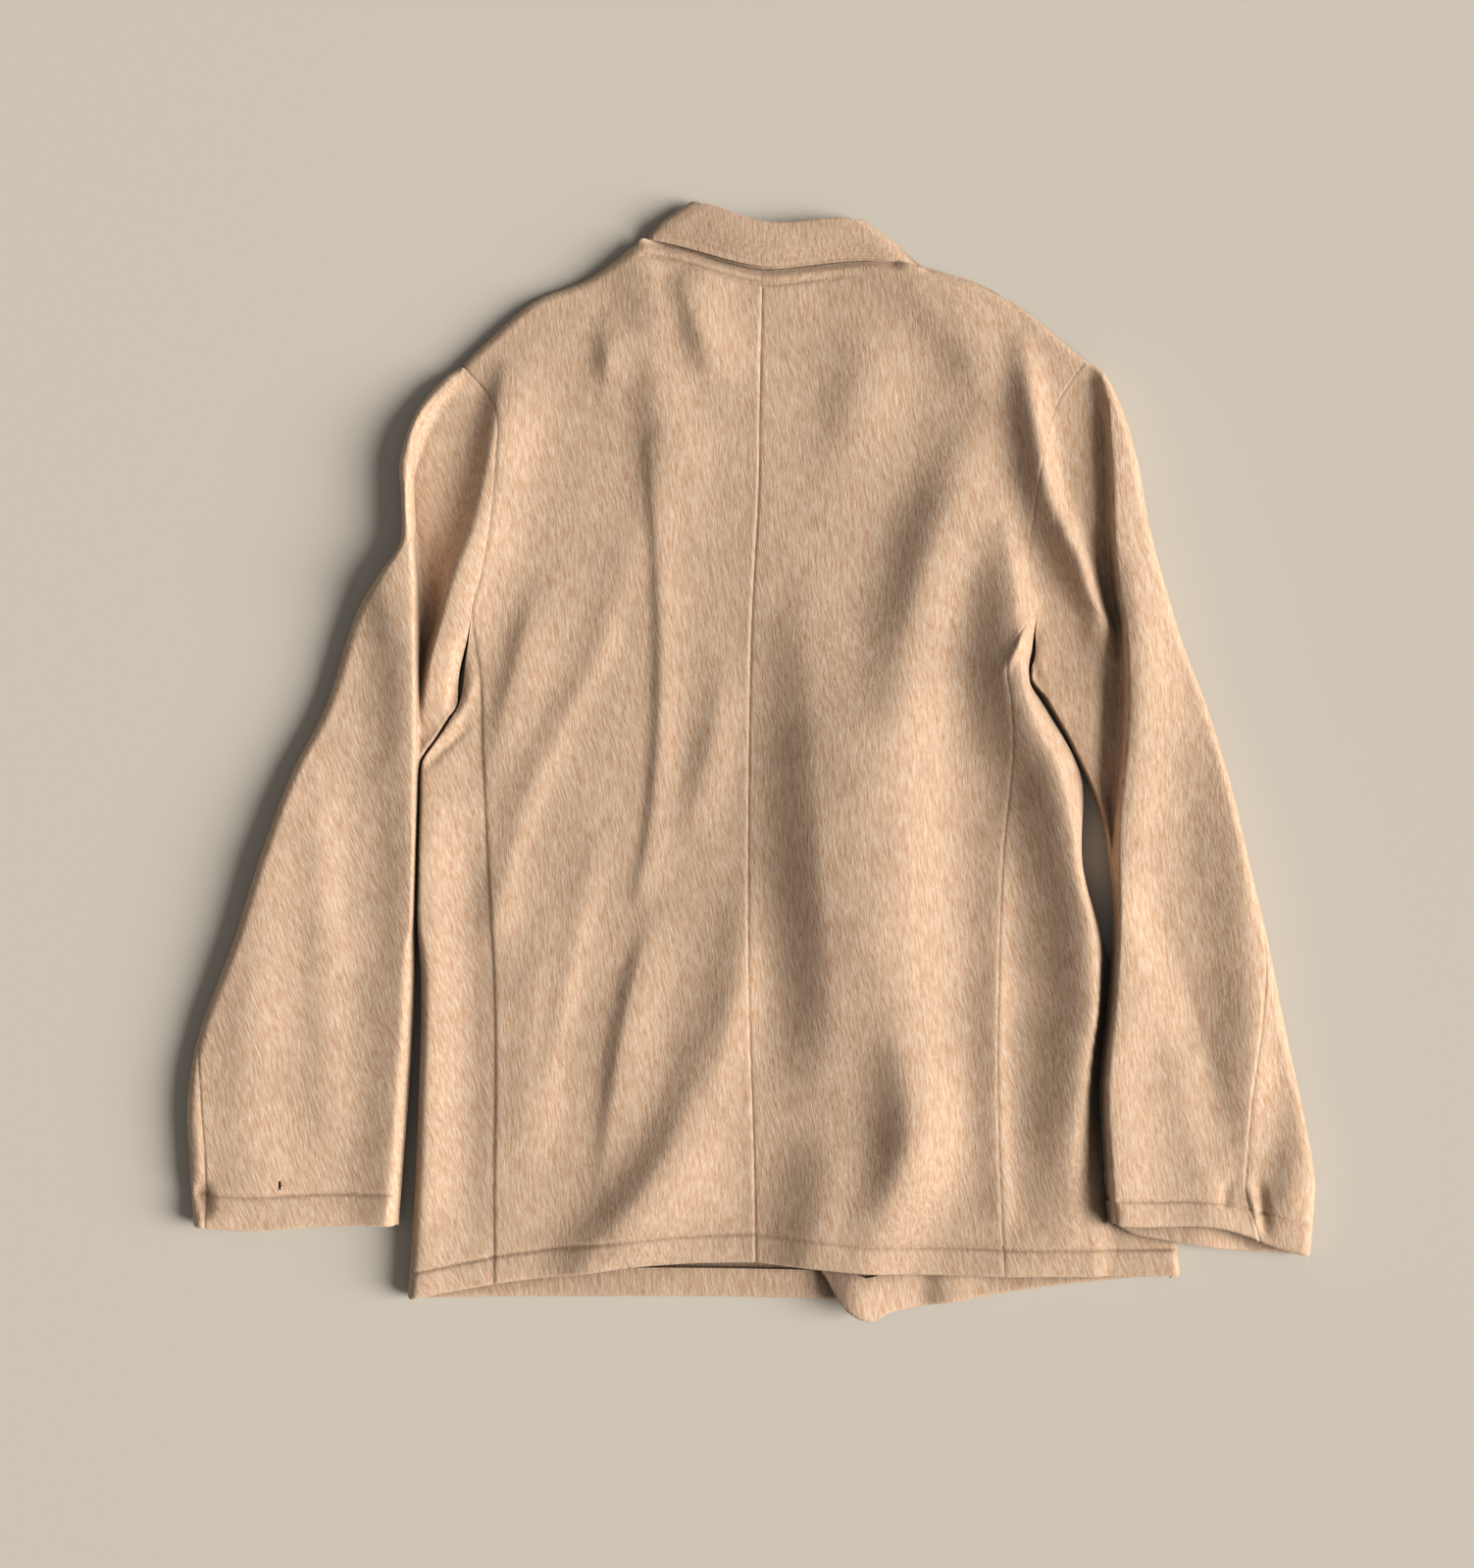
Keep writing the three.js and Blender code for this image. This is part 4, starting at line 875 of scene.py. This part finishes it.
def sleevePiece(side, face, name):
    left = side < 0
    table = sleeveLeft if left else sleeveRight
    length = sleeve["length"]
    last = len(table) - 1
    step = cloth["fine"] if face > 0 else cloth["coarse"]
    turnUp = hem["cuffLeft"] if left else hem["cuffRight"]
    holed = left and face > 0
    ups = places(length, step, [0, turnUp - hem["radius"]] + ([mothHole["up"]] if holed else []))
    # Rows are shared out by the length of the outer edge between the table's rows.
    run = runAlong([row[:2] for row in table])
    whole = run[-1] - hem["radius"]
    at = np.interp(whole * (1 - ups / length), run, np.arange(last + 1))
    row = section(table, sleeveColumns, at)
    fromUnderarm = at - underarmRow
    if face > 0:
        armhole = backSideLeft if left else backSideRight
    else:
        armhole = frontSideLeft if left else frontSideRight
    row.inX = np.where(fromUnderarm < -1, through(armhole, row.inY), row.inX)
    # Below the side seam the armhole follows the top of the side panel, till it opens.
    sideTable = sideLeft if left else sideRight
    cornerY = sideTable[0][0]
    _, edgeX, edgeY, _ = sideTable[armpitRow]
    downTop = np.clip((cornerY - row.inY) / (cornerY - edgeY), 0, 1)
    alongTop = mix(through(armhole, cornerY), edgeX, downTop)
    alongTop = alongTop + side * sleeve["slit"] * np.sin(math.pi * downTop ** 1.5) ** 2
    leaves = 0.05 if left else 0.4
    onTop = smooth(fromUnderarm, -1.02, -0.98) * (1 - smooth(fromUnderarm, 0, leaves))
    row.inX = mix(row.inX, alongTop, onTop)
    if left:
        beside = smooth(fromUnderarm, 0, 0.1) * (1 - smooth(fromUnderarm, 2.4, 3))
        row.inX = mix(row.inX, through(sleeveAgainst, row.inY) - 0.15, beside)
    # The right sleeve comes away from the body here; the left one lies against it further down.
    opens = 2.9 if left else -0.1
    closed = smooth(fromUnderarm, opens, opens + 0.5)
    row.joined = mix(26, 2.5, smooth(fromUnderarm, -1, 0.5))
    row.drop = mix(9 if left else 5, 1.3, smooth(at, 1.6, 3.6 if left else 2.4))
    span = np.hypot(row.inX - row.outX, row.inY - row.outY)
    edge = np.clip((row.edgeX - row.outX) / (row.inX - row.outX), 0, 1) * span
    turn = np.minimum(row.turn, span / 2.5)
    if face > 0:
        start, end = turn + cloth["gap"] / 2, span - cloth["gap"] / 2
        stops = np.stack([start, np.maximum(start + 4, 9), np.maximum(edge - 9, start + 5),
                          edge - row.drop, edge + row.drop, edge + 9, span - 9, end])
        counts = [6, 46, 5, 6, 4, 16, 8] if left else [6, 44, 5, 6, 4, 18, 8]
    else:
        stops = np.stack([np.zeros(len(at)), 0 * at + 9, span - 9, span - cloth["gap"] / 2])
        counts = [8, 14, 8]
    stops = np.minimum(np.maximum.accumulate(stops, axis=0), span)
    shares = [(k, i / count) for k, count in enumerate(counts) for i in range(count)]
    if holed:
        reach = mothHole["reach"]
        shares = [pair for pair in shares if pair[0] != 1]
        shares += [(1, place / reach) for place in places(reach, 2.9, [mothHole["across"]])[:-1]]
        shares.sort()
    shares.append((len(counts) - 1, 1.0))
    if face > 0:
        insets = [(mix(stops[k], stops[k + 1], share), 1) for k, share in shares]
    else:
        # Columns are closer near both folds, and then go on over the outer one to the seam.
        bent = {0: lambda t: 1 - math.cos(t * math.pi / 2), 2: lambda t: math.sin(t * math.pi / 2)}
        insets = [(mix(stops[k], stops[k + 1], bent.get(k, float)(share)), -1)
                  for k, share in reversed(shares)]
        if left:
            turned = (0.05, 0.15, 0.3, 0.5, 0.75, 1.0)
        else:
            turned = (0.01, 0.03, 0.06, 0.1, 0.15, *np.arange(5, 26) / 25)
        insets += [(share * (turn - cloth["gap"] / 2), 1) for share in turned]
    outerRoll = cloth["roll"]
    if left:
        outerRoll = mix(5, cloth["roll"], smooth(at, 5, 7) + 1 - smooth(at, 1.5, 2.5))
    innerRoll = mix(2.2, cloth["roll"] if left else 3.5, closed)
    columns = []
    for inset, onFace in insets:
        x = mix(row.outX, row.inX, inset / span)
        y = mix(row.outY, row.inY, inset / span)
        lift = sleeveUnderside(side, x, y)
        high = sleeveHigh(side, row, closed, x, y, lift)
        z = foldHeightAt(inset, onFace, high, lift, outerRoll)
        innerZ = foldHeightAt(np.maximum(span - inset, 0), onFace, high, lift, innerRoll)
        flat = high if onFace > 0 else lift
        z = np.where(inset < span / 2, z, mix(flat, innerZ, smooth(fromUnderarm, -0.1, 0.1)))
        if onFace > 0:
            over = left == (inset.mean() < turn.mean())
            z = z + (seamOver if over else seamUnder)(inset - turn) * smooth(turn, 2, 6)
            z = z + (1 - closed) * seam["armhole"] * seamUnder(span - inset)
            band = hemBand(ups + hem["radius"], turnUp, sleeve["puffLeft" if left else "puffRight"])
            z = z + band * smooth(inset, 1, 7) * smooth(span - inset, 1, 7)
        # The right cuff's upper layer is drawn up in the middle, and the lower one shows below it.
        if left:
            sag = bell(x - sleeve["sagAt"], sleeve["sagReach"])
            y = y - sleeve["sag"] * sag * np.exp(-ups / 40)
        elif onFace > 0:
            fromMiddle = x - sleeve["drawnAt"]
            reach = np.where(fromMiddle < 0, sleeve["drawnLeft"], sleeve["drawnRight"])
            y = y + sleeve["drawnUp"] * bell(fromMiddle, reach) * np.exp(-ups / 70)
        else:
            shown = smooth(x, 258, 272) * (1 - smooth(x, 340, 396))
            y = y - sleeve["shows"] * shown * np.exp(-ups / 30)
        columns.append(together(x, y, z))
    facing = -side
    hemmed = withHem(np.stack(columns, axis=1), facing, turnUp)
    missing = None
    if holed:
        middle = (hemmed[:-1, :-1] + hemmed[1:, 1:]) / 2
        fromX = (middle[..., 0] - mothHole["x"]) / mothHole["wide"] * 2
        fromY = (middle[..., 1] - mothHole["y"]) / mothHole["long"] * 2
        missing = (fromX ** 2 + fromY ** 2 < 1) & (middle[..., 2] > 9)
    return clothPiece(name, hemmed, facing, woolLeft if left else woolRight, missing)


declare(sleevePiece(-1, 1, "sleeveLeftBack"), "sleeve_left_back")
declare(sleevePiece(-1, -1, "sleeveLeftFront"), "sleeve_left_front")
declare(sleevePiece(1, 1, "sleeveRightBack"), "sleeve_right_back")
declare(sleevePiece(1, -1, "sleeveRightFront"), "sleeve_right_front")
print("sleeves made")


stand = {
    "hiddenFold": 1.35,  # radius of the top fold under the neck, where it lies squashed
    "crown": 2.2,  # how far its face stands out between seam and edge
    "step": 0.06,  # between rows, in rows of the table, and between columns, in widths
}


def collarPiece():
    rows = places(len(collar) - 1, stand["step"])
    row = section(collar, collarColumns, rows)
    seamLine, topLine = together(row.seamX, row.seamY), together(row.topX, row.topY)
    turned = np.radians(row.turned)
    outward = np.where(row.seamX < 20, -1, 1)
    normal = together(np.cos(turned) * outward, 0 * turned, np.sin(turned))
    radius = mix(stand["hiddenFold"], hem["radius"], smooth(row.turned, -85, -20))
    across = unitRows(topLine - seamLine)
    width = np.hypot(*(topLine - seamLine).T)
    flatOut = together(*across.T, 0 * turned)
    columns = []
    face = together(*seamLine.T, row.z)
    for place in places(1, stand["step"]):
        along = place * (width - radius)
        rise = stand["crown"] * math.sin(place * math.pi) ** 0.8 - neckGroove(row.seamX, along)
        rise = rise * smooth(row.turned, -10, 30)
        columns.append(face + flatOut * along[:, None] + normal * rise[:, None])
    end = columns[-1]
    for angle in np.radians(np.arange(15, 181, 15)):
        outer, inward = radius * math.sin(angle), radius * (1 - math.cos(angle))
        columns.append(end + flatOut * outer[:, None] - normal * inward[:, None])
    back = columns[-1]
    for place in np.linspace(0.1, 0.95, 9):
        columns.append(back - flatOut * (place * (width - radius))[:, None])
    points = np.stack(columns, axis=1)
    return clothPiece("standCollar", points, -1, woolCollar)


declare(collarPiece(), "collar")
print("collar made")


studio = {
    "table": "#D9D3C8",
    "tableHalf": 3.0,
    "tableTop": -0.0002,  # just below the cloth
    "cameraHeight": 1.6,
    "clothHeight": 0.012,
    "frameHeight": 1.119,  # what the picture's long side takes in, at the jacket
    "centre": (-0.0095, -0.0165),
    "keyPower": 4.9,
    "keyHeight": 28,  # degrees above the table
    "keyFrom": -10,  # and round from the right of it
    "keySpread": 38,
    "fill": 0.17,
}

tableMesh = bpy.data.meshes.new("table")
corners = ((-1, -1), (1, -1), (1, 1), (-1, 1))
tableMesh.from_pydata([(studio["tableHalf"] * a, studio["tableHalf"] * b, studio["tableTop"])
                       for a, b in corners], [], [(0, 1, 2, 3)])
tableTop = addObject("table", tableMesh)
# A matt painted board, which doesn't mirror the window.
paint = bpy.data.materials.new("paintedBoard")
paint.use_nodes = True
paintInputs = paint.node_tree.nodes["Principled BSDF"].inputs
paintInputs["Base Color"].default_value = colour(studio["table"])
paintInputs["Roughness"].default_value = 0.8
tableMesh.materials.append(paint)

camera = addObject("camera", bpy.data.cameras.new("camera"))
camera.location = (*studio["centre"], studio["cameraHeight"])
# The frame's height is what the picture takes in at the cloth, not at the table.
clothDistance = studio["cameraHeight"] - studio["clothHeight"]
camera.data.sensor_width = 36.0
camera.data.lens = camera.data.sensor_width * clothDistance / studio["frameHeight"]
bpy.context.scene.camera = camera

window = addObject("window", bpy.data.lights.new("window", "SUN"))
window.data.energy = studio["keyPower"]
window.data.angle = math.radians(studio["keySpread"])
window.data.color = colour("#FFF9F2")[:3]
height, turn = math.radians(studio["keyHeight"]), math.radians(studio["keyFrom"])
towards = Vector((math.cos(height) * math.cos(turn), math.cos(height) * math.sin(turn),
                  math.sin(height)))
window.rotation_euler = towards.to_track_quat("Z", "Y").to_euler()
world = bpy.data.worlds.new("room")
world.use_nodes = True
world.node_tree.nodes["Background"].inputs["Color"].default_value = colour("#F4F1EC")
world.node_tree.nodes["Background"].inputs["Strength"].default_value = studio["fill"]
bpy.context.scene.world = world
bpy.context.scene.view_settings.view_transform = "Standard"
print("studio made")
